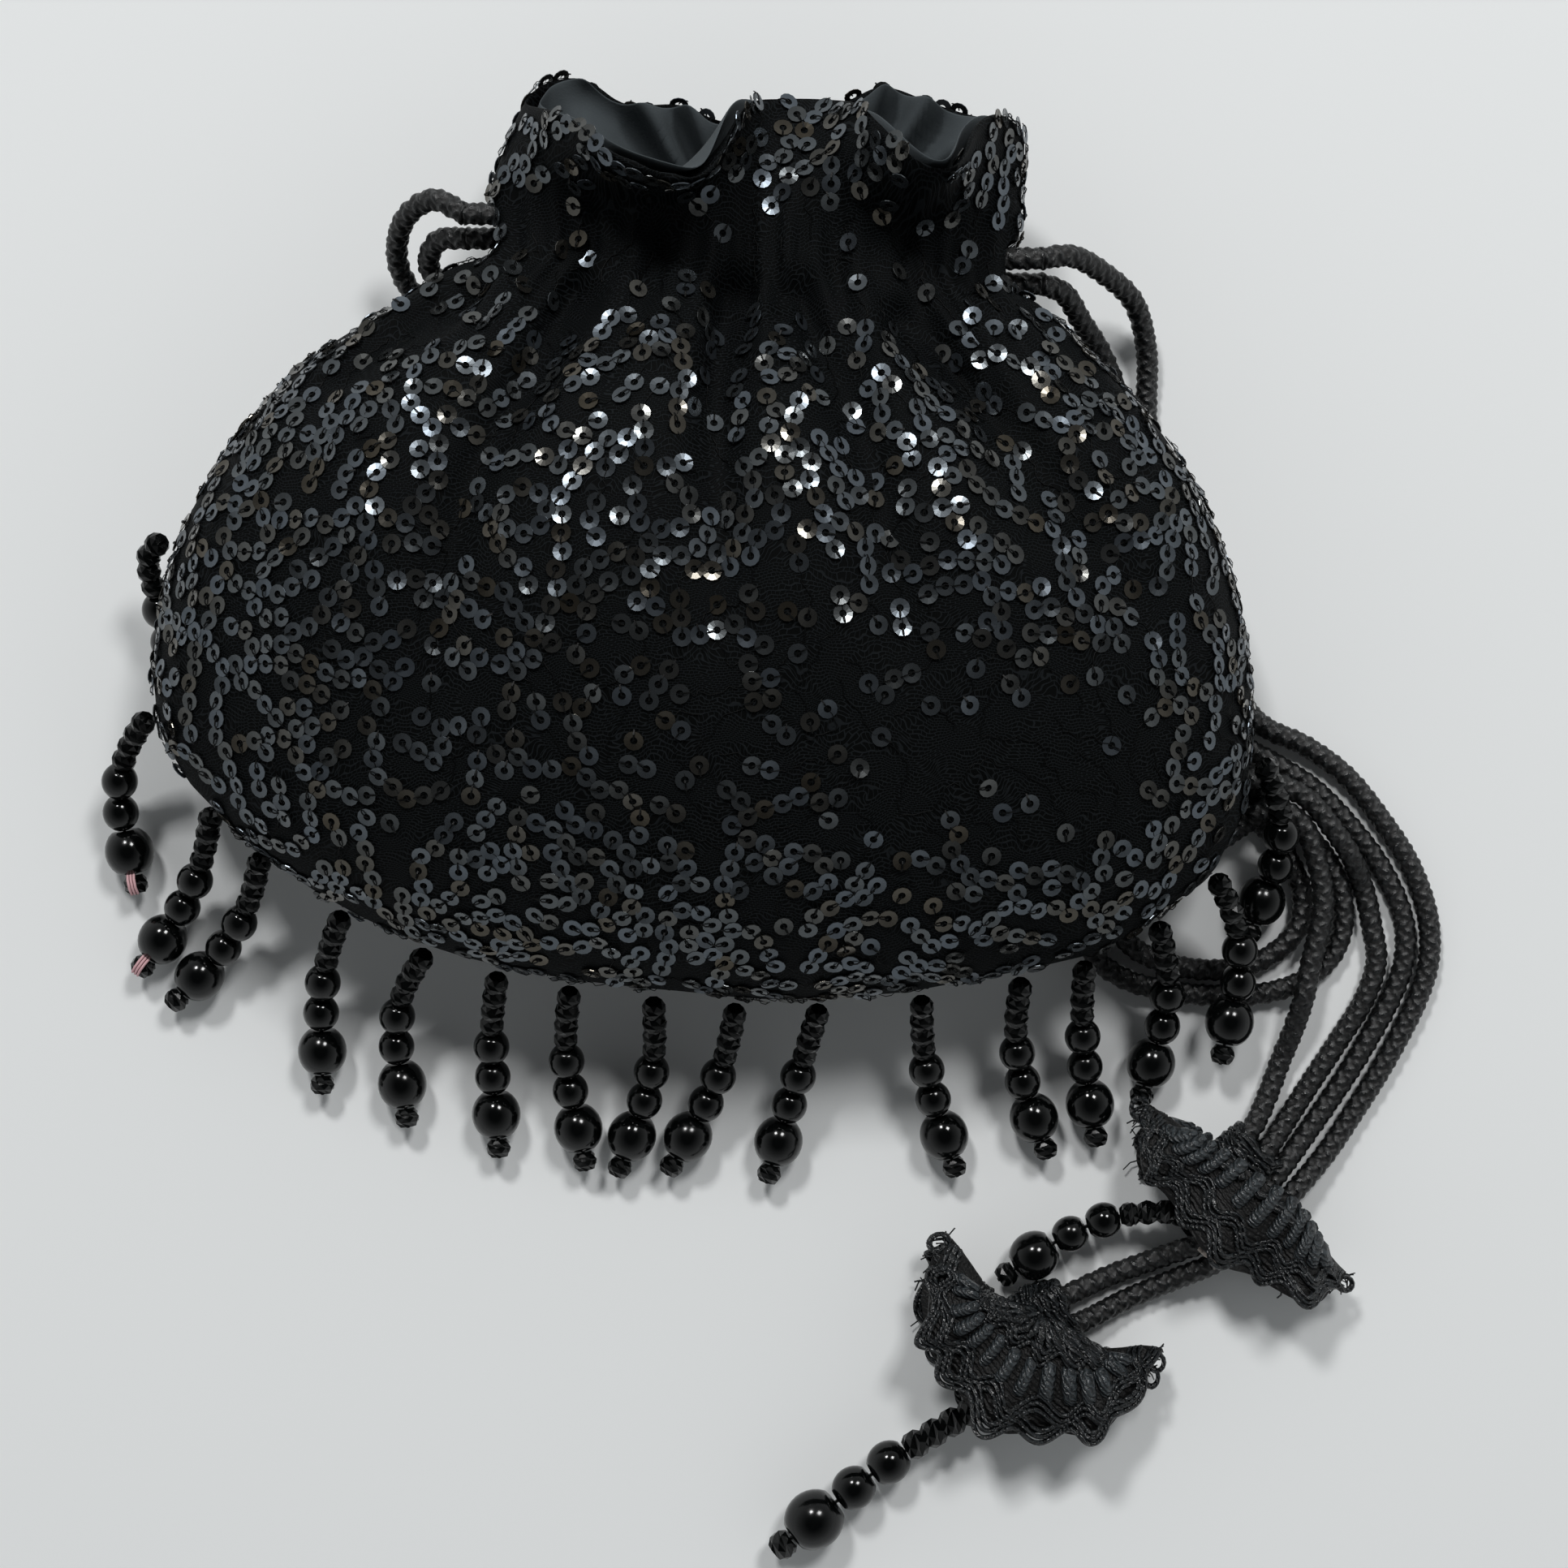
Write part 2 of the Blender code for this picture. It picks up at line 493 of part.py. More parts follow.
def hanging_path(start, headings, z_end, hump, turned, reach):
    """A function of distance: a string that sinks from start to z_end over reach, then is level."""
    fine = 240
    step = reach * 1.35 / fine
    points = [np.array(start, float)]
    fall = start[2] - z_end
    for i in range(fine):
        here = i * step
        left = max(1 - (here + step) / reach, 0.0)
        z = z_end + fall * left ** 1.25 + hump * math.sin(math.pi * left)
        drop = z - points[-1][2]
        level = math.sqrt(max(step * step - drop * drop, 0.0))
        turn = ease(here / (reach * turned))
        heading = math.radians(headings[0] + (headings[1] - headings[0]) * turn)
        points.append(points[-1] + np.array([level * math.cos(heading),
                                             level * math.sin(heading), drop]))
    points = np.array(points)

    def place(distance):
        return np.array([np.interp(distance / step, range(fine + 1), points[:, k])
                         for k in range(3)])

    return place


def bead_string(name, start, headings, surface, lift=0.0, hump=0.0, turned=1.0, scale=1.0):
    stations, centres = bead_profile(FRINGE, scale)
    z_end = LARGE[0] / 2 * scale + FLOOR_GAP + lift
    place = hanging_path(start, headings, z_end, hump, turned, centres[-2])
    points = [place(distance) for distance, _ in stations]
    radii = [radius for _, radius in stations]
    return tube(name, points, 2.0, surface, radii, resolution=1)


def fringe_start(distance):
    x, y = point_on_seam(distance)
    return np.array([x, y, SEAM_Z])


def tassel(name, spec, surface):
    """A skirt of braid: a flattened ring whose inner edge holds the cords and whose rim ruffles."""
    centre = np.array([*spec["centre"], spec["middle"]])
    heading = math.radians(spec["heading"])
    ahead = np.array([math.cos(heading), math.sin(heading), 0.0])
    aside = np.array([-math.sin(heading), math.cos(heading), 0.0])
    spread = math.radians(spec["spread"])

    def edge(angle, size, ruffle):
        wide, deep, high = size
        turn = spread * math.sin(angle)
        wave = ruffle * math.cos(2 * RUFFLES * angle) * RUFFLE_DEPTH
        upper = max(math.cos(angle), 0.0)
        point = centre + aside * wide * math.sin(turn) + ahead * (deep * math.cos(turn) + 0.5 * wave)
        point[2] += high * math.cos(angle) + wave * upper
        point[2] = max(point[2], BRAID / 2 + FLOOR_GAP + 0.1)
        return point

    inner = []
    outer = []
    for i in range(TASSEL_SECTIONS):
        angle = 2 * math.pi * i / TASSEL_SECTIONS
        inner.append(edge(angle, spec["inner"], 0.0))
        outer.append(edge(angle, spec["outer"], 1.0))
    shape = bmesh.new()
    rings = []
    for i in range(TASSEL_SECTIONS):
        after = (i + 1) % TASSEL_SECTIONS
        along = inner[after] + outer[after] - inner[i - 1] - outer[i - 1]
        normal = np.cross(outer[i] - inner[i], along)
        normal *= BRAID / 2 / np.linalg.norm(normal)
        corners = (inner[i] + normal, outer[i] + normal, outer[i] - normal, inner[i] - normal)
        rings.append([shape.verts.new(Vector(corner) * MM) for corner in corners])
    for i in range(TASSEL_SECTIONS):
        here, after = rings[i], rings[(i + 1) % TASSEL_SECTIONS]
        for k in range(4):
            shape.faces.new((here[k], here[(k + 1) % 4], after[(k + 1) % 4], after[k]))
    bmesh.ops.triangulate(shape, faces=list(shape.faces))
    bmesh.ops.recalc_face_normals(shape, faces=list(shape.faces))
    mesh = bpy.data.meshes.new(name)
    shape.to_mesh(mesh)
    shape.free()
    return link(bpy.data.objects.new(name, mesh), surface)


def binding(name, place, heading, surface):
    """The whipped ends of two cords, inside a tassel."""
    shape = bmesh.new()
    bmesh.ops.create_uvsphere(shape, u_segments=10, v_segments=6, radius=0.5 * MM)
    bmesh.ops.scale(shape, vec=Vector(BINDING), verts=shape.verts)
    mesh = bpy.data.meshes.new(name)
    shape.to_mesh(mesh)
    shape.free()
    mesh.shade_smooth()
    obj = link(bpy.data.objects.new(name, mesh), surface)
    obj.matrix_world = (Matrix.Translation(Vector(place) * MM)
                        @ Matrix.Rotation(math.radians(heading), 4, "Z"))
    return obj


for old in list(bpy.data.objects):
    bpy.data.objects.remove(old)
bpy.context.scene.collection.children.link(bpy.data.collections.new(COLLECTION))

sequined = material("sequined_net", SEQUIN_BLACK, 0.35)
crepe = material("crepe_lining", CREPE_BLACK, 0.8)
plait = material("plaited_cord", CORD_BLACK, 0.5)
gimp = material("gimp_braid", CORD_BLACK, 0.45)
glass = material("black_beads", BEAD_BLACK, 0.12)

cloth_levels = [-t for t in FRILL_ROWS] + list(BODY_ROWS)
lining_levels = [-t for t in FRILL_ROWS] + list(LINING_ROWS)
pouch("outer_shell", cloth_levels, cloth_point, CLOTH, sequined, True)
pouch("lining", lining_levels, lining_point, LINING, crepe, False)

channel_cord("drawstring_left_channel", 0, LEFT_IN_CHANNEL, plait)
channel_cord("drawstring_right_channel", 1, RIGHT_IN_CHANNEL, plait)
cord("drawstring_left_upper", LEFT_UPPER, plait)
cord("drawstring_left_lower", LEFT_LOWER, plait)
cord("drawstring_right_upper", RIGHT_UPPER, plait)
cord("drawstring_right_lower", RIGHT_LOWER, plait)

tassel("tassel_near", TASSEL_NEAR, gimp)
tassel("tassel_far", TASSEL_FAR, gimp)
binding("binding_near", *BINDING_NEAR, plait)
binding("binding_far", *BINDING_FAR, plait)

for number, (distance, first, last, lift, hump, turned) in enumerate(STRINGS, 1):
    name = f"fringe_{number:02d}"
    bead_string(name, fringe_start(distance), (first, last), glass, lift, hump, turned)
bead_string("pendant_near", *PENDANT_NEAR, glass)
bead_string("pendant_far", *PENDANT_FAR, glass, scale=FAR_SCALE)
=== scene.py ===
# %% [markdown]
# # A potli bag
#
# A potli is a small drawstring pouch. This one is black net sewn with ring sequins over a black
# cloth, gathered by two plaited cords, with beaded strings along its lower seam and a tassel of
# ruffled gimp braid on each pair of cord ends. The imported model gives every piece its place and
# its size. This lesson gives each piece its look.

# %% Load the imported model
import json
import math
import random

import bpy
import numpy as np
from mathutils import Matrix, Vector, noise
from mathutils.bvhtree import BVHTree


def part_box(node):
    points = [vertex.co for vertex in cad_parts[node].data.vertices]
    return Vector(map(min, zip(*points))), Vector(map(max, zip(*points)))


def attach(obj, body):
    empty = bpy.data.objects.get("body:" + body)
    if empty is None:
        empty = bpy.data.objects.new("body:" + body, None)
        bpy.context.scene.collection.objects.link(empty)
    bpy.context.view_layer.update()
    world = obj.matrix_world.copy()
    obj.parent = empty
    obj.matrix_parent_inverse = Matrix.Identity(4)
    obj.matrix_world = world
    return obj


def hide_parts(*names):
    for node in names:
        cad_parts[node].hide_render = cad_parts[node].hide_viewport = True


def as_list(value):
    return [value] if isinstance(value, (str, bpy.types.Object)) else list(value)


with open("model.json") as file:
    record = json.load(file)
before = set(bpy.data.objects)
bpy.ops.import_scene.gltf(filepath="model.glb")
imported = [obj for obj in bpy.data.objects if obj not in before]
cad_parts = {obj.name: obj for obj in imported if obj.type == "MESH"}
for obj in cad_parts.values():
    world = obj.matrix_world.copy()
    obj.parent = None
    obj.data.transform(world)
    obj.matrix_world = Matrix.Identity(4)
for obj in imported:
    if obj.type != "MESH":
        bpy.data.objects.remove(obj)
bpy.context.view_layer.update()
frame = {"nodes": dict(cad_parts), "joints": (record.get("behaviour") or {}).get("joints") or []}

MM = 0.001
print("nodes:", len(frame["nodes"]))

# %% [markdown]
# ## Camera
#
# The bag lies on a table and is seen from straight above, from about half a metre. A camera that
# looks straight down needs no rotation: +Y of the scene is then up in the picture.

# %% Camera
bpy.ops.object.camera_add(location=(13.2 * MM, -24.6 * MM, 500 * MM), rotation=(0, 0, 0))
camera = bpy.context.object
camera.name = "camera_above"
camera.data.sensor_width = 36
camera.data.lens = 70.3
bpy.context.scene.camera = camera

# %% [markdown]
# ## Pieces and what is selected
#
# Every visible piece below is a new object in the scene. Blender's operators work on what is
# selected, so a few short functions add a piece, select pieces and join them.


# %% Add, select and join
def add_piece(name, data):
    """A new object with this mesh or curve."""
    piece = bpy.data.objects.new(name, data)
    bpy.context.collection.objects.link(piece)
    return piece


def select_only(*pieces):
    """Selects these pieces and no others; the first one is active."""
    bpy.ops.object.select_all(action="DESELECT")
    for piece in pieces:
        piece.select_set(True)
    bpy.context.view_layer.objects.active = pieces[0]


def joined(name, parts):
    """The parts as one piece."""
    select_only(*parts)
    bpy.ops.object.join()
    piece = bpy.context.object
    piece.name = name
    return piece


# %% [markdown]
# ## Cords
#
# The two drawstrings come first, because they are the parts that lie furthest from the bag. Each
# has two free strands. A strand is a round plait of soft yarns, 3.3 mm across. Its route
# is a smooth curve through a few points that rest on the table or on the strand below. A bump
# map would leave the outline of the cord straight, so the yarns are real relief here.

# %% The routes, in millimetres
CORD = 3.3    # its diameter
LOW = 1.70    # the height of its middle on the table
OVER = 5.45   # and where it lies over another strand
ROUTES = {
    "left_upper": (
        (-36.4, 64.2, 22.6), (-41.5, 66.8, 21.0), (-46.8, 64.6, 16.0), (-48.6, 58.5, 9.0),
        (-44.6, 52.4, 4.0), (-36.0, 48.9, LOW), (-20.0, 47.9, LOW), (0.0, 47.7, LOW),
        (30.0, 45.8, LOW), (43.0, 42.6, 2.6), (51.5, 38.4, OVER), (58.0, 33.6, OVER),
        (65.0, 27.0, OVER), (71.5, 19.0, OVER), (75.6, 10.5, 4.4), (78.4, -0.5, 2.0),
        (81.6, -10.5, LOW), (87.0, -17.6, LOW), (93.6, -21.6, LOW), (99.4, -25.4, LOW),
        (105.6, -31.8, LOW), (110.8, -39.0, LOW), (114.0, -46.8, LOW), (114.1, -53.2, LOW),
        (112.2, -58.8, LOW), (107.3, -67.8, LOW), (102.4, -75.4, LOW), (97.6, -82.0, 2.6),
        (92.9, -87.9, 4.4), (89.7, -91.7, 4.4), (85.4, -95.6, 4.4), (80.6, -98.8, 4.5),
        (75.0, -101.3, 2.2), (67.4, -104.1, LOW), (61.0, -106.6, 3.4), (55.8, -108.7, 5.4),
    ),
    "left_lower": (
        (-36.4, 61.2, 18.4), (-41.4, 61.4, 15.5), (-43.6, 58.0, 9.5), (-39.0, 54.0, 4.0),
        (-30.0, 52.4, LOW), (0.0, 51.6, LOW), (32.0, 49.6, LOW), (46.0, 46.5, 2.6),
        (54.0, 42.6, OVER), (61.0, 37.5, OVER), (68.0, 31.0, OVER), (75.0, 22.5, OVER),
        (80.0, 12.0, 3.0), (82.5, 1.0, LOW), (85.5, -8.5, LOW), (91.0, -15.0, LOW),
        (98.0, -18.4, LOW), (104.5, -23.2, LOW), (110.8, -31.0, LOW), (115.2, -38.0, LOW),
        (118.0, -46.5, LOW), (118.1, -53.5, LOW), (116.2, -59.7, LOW), (111.0, -69.8, LOW),
        (106.0, -77.8, LOW), (101.2, -84.6, 2.6), (95.9, -90.4, 4.4), (92.5, -94.0, 4.4),
        (88.2, -98.4, 4.2), (83.2, -102.0, 4.0), (77.0, -105.0, 2.2), (69.0, -108.4, LOW),
        (62.6, -111.3, 3.4), (57.4, -113.0, 5.4),
    ),
    "right_upper": (
        (53.4, 57.4, 22.0), (58.0, 58.2, 20.0), (64.0, 56.4, 14.0), (69.6, 52.6, 7.5),
        (72.0, 45.6, 3.4), (72.2, 38.0, LOW), (72.0, 28.0, LOW), (71.6, 16.0, LOW),
        (71.2, 0.0, LOW), (70.6, -14.0, LOW), (68.8, -28.0, LOW), (67.0, -38.0, LOW),
        (66.6, -45.6, LOW), (69.6, -50.8, LOW), (75.0, -53.6, LOW), (81.4, -54.8, LOW),
        (88.0, -54.3, LOW), (93.2, -51.9, LOW), (96.9, -47.8, LOW), (97.5, -42.4, LOW),
        (95.4, -37.0, LOW), (92.2, -32.4, LOW), (86.4, -28.0, LOW), (82.0, -26.0, LOW),
        (77.8, -26.6, LOW), (75.4, -29.8, 3.0), (77.4, -33.2, OVER), (82.0, -34.2, OVER),
        (87.4, -31.2, OVER), (92.2, -28.4, OVER), (97.0, -31.2, OVER), (99.4, -37.6, OVER),
        (100.3, -43.4, OVER), (99.4, -49.0, OVER), (98.2, -54.0, OVER), (97.2, -59.0, OVER),
        (95.8, -64.4, 3.4), (94.0, -69.6, LOW), (91.9, -75.0, 2.2), (89.4, -80.0, 3.4),
        (86.5, -83.3, 4.4), (84.2, -85.8, 4.6),
    ),
    "right_lower": (
        (53.4, 54.2, 18.0), (57.4, 53.2, 15.0), (61.0, 49.4, 9.0), (64.6, 45.0, 4.4),
        (67.6, 38.0, LOW), (68.0, 28.0, LOW), (67.8, 16.0, LOW), (67.4, 0.0, LOW),
        (66.6, -14.0, LOW), (64.8, -28.0, LOW), (62.8, -38.0, LOW), (61.8, -46.0, LOW),
        (63.6, -52.4, LOW), (68.4, -56.2, LOW), (75.5, -58.2, LOW), (83.0, -59.0, LOW),
        (91.0, -58.7, LOW), (98.0, -56.4, LOW), (102.4, -52.4, LOW), (104.2, -47.2, LOW),
        (103.6, -41.4, LOW), (101.0, -36.0, LOW), (97.0, -31.8, LOW), (92.0, -28.0, LOW),
        (86.4, -23.2, LOW), (81.6, -18.8, LOW), (77.0, -16.0, LOW), (72.8, -17.0, 2.6),
        (71.4, -21.0, 4.6), (75.0, -24.0, OVER), (80.6, -24.4, OVER), (87.0, -23.8, OVER),
        (92.6, -24.4, OVER), (98.0, -27.2, OVER), (101.8, -31.8, OVER), (105.0, -36.4, 4.4),
        (107.6, -42.0, LOW), (108.8, -47.6, LOW), (109.6, -53.2, LOW), (107.8, -59.2, LOW),
        (103.5, -66.2, LOW), (99.0, -73.0, LOW), (94.7, -79.4, 2.6), (90.3, -85.4, 4.4),
        (88.0, -88.2, 4.6),
    ),
}


# %% A smooth curve through a few points
def smooth_curve(points, count):
    """Points evenly spaced along a centripetal curve through the given ones."""
    knots = np.array(points, float)
    knots = np.vstack([2 * knots[0] - knots[1], knots, 2 * knots[-1] - knots[-2]])
    between = 24
    fine = []
    for i in range(1, len(knots) - 2):
        p0, p1, p2, p3 = knots[i - 1:i + 3]
        t1 = math.dist(p0, p1) ** 0.5
        t2 = t1 + math.dist(p1, p2) ** 0.5
        t3 = t2 + math.dist(p2, p3) ** 0.5
        for t in np.linspace(t1, t2, between, endpoint=False):
            a1 = (t1 - t) / t1 * p0 + t / t1 * p1
            a2 = (t2 - t) / (t2 - t1) * p1 + (t - t1) / (t2 - t1) * p2
            a3 = (t3 - t) / (t3 - t2) * p2 + (t - t2) / (t3 - t2) * p3
            b1 = (t2 - t) / t2 * a1 + t / t2 * a2
            b2 = (t3 - t) / (t3 - t1) * a2 + (t - t1) / (t3 - t1) * a3
            fine.append((t2 - t) / (t2 - t1) * b1 + (t - t1) / (t2 - t1) * b2)
    fine = np.array(fine + [knots[-2]])
    along = np.concatenate([[0.0], np.cumsum(np.linalg.norm(np.diff(fine, axis=0), axis=1))])
    wanted = np.linspace(0.0, along[-1], count)
    return np.stack([np.interp(wanted, along, fine[:, k]) for k in range(3)], axis=1)


def length_of(points):
    """The length of the line through the points."""
    return float(np.linalg.norm(np.diff(points, axis=0), axis=1).sum())


# %% [markdown]
# ### The plait's relief
#
# In a round plait, four yarns wind one way round and four the other way, and each goes over one
# and under the next. So the surface at an angle round the cord and a distance along it
# is the highest of two families of ridges, which take turns at being on top.

# %% Plaited tube
YARNS = 4          # that wind each way
PITCH = 10.4       # one turn of a yarn
RING = 32          # vertices round the cord
STEP = 0.32        # between rings, fine enough to draw the ridges
BLUNT = 0.8        # under 1, a yarn's back is blunter than a parabola
UPPER = 0.42       # how far the yarn on top stands out, in heights of a yarn
GROOVE = 0.66      # radius in the grooves, in radii of the cord
RELIEF = 0.48      # and how far the yarns rise from there


def ridge(offset):
    """A yarn's rounded back, 1 on its middle and 0 at its edges; offset is in yarns."""
    near = (offset + 0.5) % 1.0 - 0.5
    return np.clip(1.0 - (near / 0.5) ** 2, 0.0, 1.0) ** BLUNT


def plait_height(turn, along):
    """Height of the plait's surface, 0 to 1, at a share of a turn and a distance along."""
    wound = along / PITCH
    over = np.cos(2 * math.pi * YARNS * wound)
    right = ridge(YARNS * (turn - wound)) + UPPER * over
    left = ridge(YARNS * (turn + wound)) - UPPER * over
    return np.clip(np.maximum(right, left) / (1 + UPPER), 0.0, 1.0)


def tube_mesh(name, points, radius_at, ring=RING, uv_scale=1.0):
    """A closed tube along points; radius_at(turn, along) gives its radius all over."""
    tangents = np.gradient(points, axis=0)
    tangents /= np.linalg.norm(tangents, axis=1)[:, None]
    side = np.cross(tangents[0], (0.0, 0.0, 1.0))
    if np.linalg.norm(side) < 1e-6:
        side = np.array([1.0, 0.0, 0.0])
    along = np.concatenate([[0.0], np.cumsum(np.linalg.norm(np.diff(points, axis=0), axis=1))])
    turns = np.arange(ring) / ring
    vertices = []
    radii = []
    for i, point in enumerate(points):
        side = side - np.dot(side, tangents[i]) * tangents[i]
        side /= np.linalg.norm(side)
        other = np.cross(tangents[i], side)
        radius = radius_at(turns, along[i])
        radii.append(radius)
        angle = 2 * math.pi * turns
        vertices.append(point + radius[:, None] * (np.cos(angle)[:, None] * side
                                                   + np.sin(angle)[:, None] * other))
    vertices = np.concatenate(vertices) * MM
    faces = []
    for i in range(len(points) - 1):
        for j in range(ring):
            k = (j + 1) % ring
            faces.append((i * ring + j, i * ring + k, (i + 1) * ring + k, (i + 1) * ring + j))
    faces.append(tuple(reversed(range(ring))))
    faces.append(tuple(range((len(points) - 1) * ring, len(points) * ring)))
    mesh = bpy.data.meshes.new(name)
    mesh.from_pydata(vertices.tolist(), [], faces)
    layer = mesh.uv_layers.new(name="UVMap")
    for polygon in mesh.polygons:
        for loop in polygon.loop_indices:
            vertex = mesh.loops[loop].vertex_index
            i, j = divmod(vertex, ring)
            share = j / ring
            if j == 0 and polygon.index % ring == ring - 1:
                share = 1.0
            layer.data[loop].uv = (share, along[i] * uv_scale)
    radii = np.concatenate(radii)
    high = mesh.attributes.new("high", "FLOAT", "POINT")
    high.data.foreach_set("value", ((radii - radii.min()) / np.ptp(radii)).astype(np.float32))
    mesh.shade_smooth()
    return add_piece(name, mesh)


def plait_radius(turns, along):
    """The plait's radius at shares of a turn and a distance along, in millimetres."""
    return CORD / 2 * (GROOVE + RELIEF * plait_height(turns, along))


# %% The four strands
strands = {}
strand_paths = {}
for strand, route in ROUTES.items():
    length = length_of(smooth_curve(route, 400))
    path = smooth_curve(route, round(length / STEP) + 1)
    path[:, 2] = np.maximum(path[:, 2], LOW + 0.02)
    strands[strand] = tube_mesh("cord_" + strand, path, plait_radius)
    strand_paths[strand] = path
    print(strand, round(length), "mm,", len(strands[strand].data.polygons), "faces")

# %% [markdown]
# A short straight piece of cord leads each strand into its channel, through the slot in the side
# of the neck.

# %% Where the strands go into the channel
ENTRY_LENGTH = 8.0
entries = {}
for strand, path in strand_paths.items():
    inward = np.array([1.0 if path[0][0] < 0 else -1.0, 0.0, 0.0])
    line = np.linspace(path[1], path[0] + ENTRY_LENGTH * inward, round(ENTRY_LENGTH / STEP))
    entries[strand] = tube_mesh("cord_entry_" + strand, line, plait_radius)
print("entries:", len(entries))

# %% [markdown]
# ## Colours and finishes
#
# Colours are written as a picture editor shows them, and one function turns them into the
# linear values that a renderer adds up. Another adds a node with its settings and its links, so
# that a finish reads as a list of what feeds what.


# %% Colour and node helpers
def linear(colour):
    """A #rrggbb colour in the linear values that the shader takes."""
    parts = [int(colour[i:i + 2], 16) / 255 for i in (1, 3, 5)]
    return (*(c / 12.92 if c <= 0.04045 else ((c + 0.055) / 1.055) ** 2.4 for c in parts), 1.0)


def add_node(tree, kind, settings=None, **links):
    """Adds a node; settings are its properties, and links its inputs, as values or sockets."""
    node = tree.nodes.new(kind)
    for key, value in (settings or {}).items():
        setattr(node, key, value)
    for key, value in links.items():
        if key.startswith("n_") and key[2:].isdigit():
            socket = node.inputs[int(key[2:])]
        else:
            socket = node.inputs[key.replace("_", " ")]
        if isinstance(value, bpy.types.NodeSocket):
            tree.links.new(value, socket)
        else:
            socket.default_value = value
    return node


def new_finish(name, colour, roughness, ior=1.5, metallic=0.0):
    """A material with one Principled BSDF: returns it, its tree and that node."""
    finish = bpy.data.materials.new(name)
    finish.use_nodes = True
    shader = finish.node_tree.nodes["Principled BSDF"]
    shader.inputs["Base Color"].default_value = linear(colour)
    shader.inputs["Roughness"].default_value = roughness
    shader.inputs["IOR"].default_value = ior
    shader.inputs["Metallic"].default_value = metallic
    return finish, finish.node_tree, shader


def cover(piece, finish):
    """One finish for the whole piece."""
    piece.data.materials.clear()
    piece.data.materials.append(finish)


def give(piece, finish):
    """One finish for the whole piece."""
    cover(piece, finish)


# %% [markdown]
# ### Plaited cord: black rayon yarn
#
# Each yarn is a bundle of shiny filaments, which give small hard glints on their tops. The
# tube's own attribute says how high each point stands in the relief, and the colour and the
# polish follow it. The colour is painted shade: near black between the yarns, where no light
# gets, and paler on their tops. The filament noise that raises the bump also makes the colour
# paler where it rises, which is painted sheen.

# %% Cord finish
cord_finish, tree, shader = new_finish("black_rayon_plait", "#08090a", 0.3)
uv = add_node(tree, "ShaderNodeTexCoord").outputs["UV"]
stretched = add_node(tree, "ShaderNodeMapping", n_0=uv, Scale=(10.4, 1.0, 1.0))
filaments = add_node(tree, "ShaderNodeTexNoise", {"noise_dimensions": "2D"},
                     Vector=stretched.outputs[0], Scale=2.4, Detail=3.0, Roughness=0.7)
# Filament tone that varies along the yarn. It is also paler where the same noise raises the bump,
# which is painted sheen.
filament_tone_and_sheen = add_node(tree, "ShaderNodeValToRGB", Fac=filaments.outputs["Fac"])
filament_tone_and_sheen.color_ramp.elements[0].position = 0.36
filament_tone_and_sheen.color_ramp.elements[0].color = linear("#020303")
filament_tone_and_sheen.color_ramp.elements[1].position = 0.8
filament_tone_and_sheen.color_ramp.elements[1].color = linear("#1f2224")
# Painted shade: the relief's height multiplies the colour, so it is black in the grooves between
# the yarns and paler on their tops.
high = add_node(tree, "ShaderNodeAttribute", {"attribute_name": "high"})
painted_groove_shade = add_node(tree, "ShaderNodeMapRange", Value=high.outputs["Fac"], From_Min=0.35,
                 From_Max=0.95)
painted_shade_colour = add_node(tree, "ShaderNodeMixRGB", {"blend_type": "MULTIPLY"}, Fac=1.0,
               Color1=filament_tone_and_sheen.outputs[0], Color2=painted_groove_shade.outputs[0])
tree.links.new(painted_shade_colour.outputs[0], shader.inputs["Base Color"])
polish = add_node(tree, "ShaderNodeMapRange", Value=high.outputs["Fac"], From_Min=0.3,
                  From_Max=0.9, To_Min=0.6, To_Max=0.2)
tree.links.new(polish.outputs[0], shader.inputs["Roughness"])
relief = add_node(tree, "ShaderNodeBump", Height=filaments.outputs["Fac"], Strength=0.45,
                  Distance=0.3 * MM)
tree.links.new(relief.outputs[0], shader.inputs["Normal"])
shader.inputs["Specular IOR Level"].default_value = 0.55

for piece in (*strands.values(), *entries.values()):
    give(piece, cord_finish)
for piece in entries.values():
    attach(piece, "bag")
for node in ("drawstring_left_channel", "drawstring_right_channel", "binding_near",
             "binding_far"):
    cover(frame["nodes"][node], cord_finish)

# %% [markdown]
# ## The cloth
#
# The shell is black net over a black cloth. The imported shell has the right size, mouth and
# folds but large facets, so a copy of it is subdivided. Small creases are then pushed into the
# copy: close gathers round the neck, which fan out below it, and a slight slackness all over.


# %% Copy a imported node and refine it
def refined(node, name, levels):
    """A smooth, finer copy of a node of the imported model, which stays as it is."""
    piece = add_piece(name, frame["nodes"][node].data.copy())
    select_only(piece)
    bpy.ops.object.mode_set(mode="EDIT")
    bpy.ops.mesh.select_all(action="SELECT")
    bpy.ops.mesh.remove_doubles(threshold=0.00001)
    bpy.ops.mesh.tris_convert_to_quads(face_threshold=1.2, shape_threshold=1.2)
    bpy.ops.object.mode_set(mode="OBJECT")
    smooth = piece.modifiers.new("smooth", "SUBSURF")
    smooth.levels = levels
    smooth.render_levels = levels
    bpy.ops.object.modifier_apply(modifier=smooth.name)
    bpy.ops.object.shade_smooth()
    return piece


def pushed(piece, move):
    """Moves each vertex by move(place, normal), both in millimetres, and returns the piece."""
    mesh = piece.data
    places = np.array([v.co for v in mesh.vertices]) / MM
    normals = np.array([v.normal for v in mesh.vertices])
    moved = [place + move(place, normal) for place, normal in zip(places, normals)]
    mesh.vertices.foreach_set("co", (np.array(moved) * MM).ravel().astype(np.float32))
    mesh.update()
    return piece


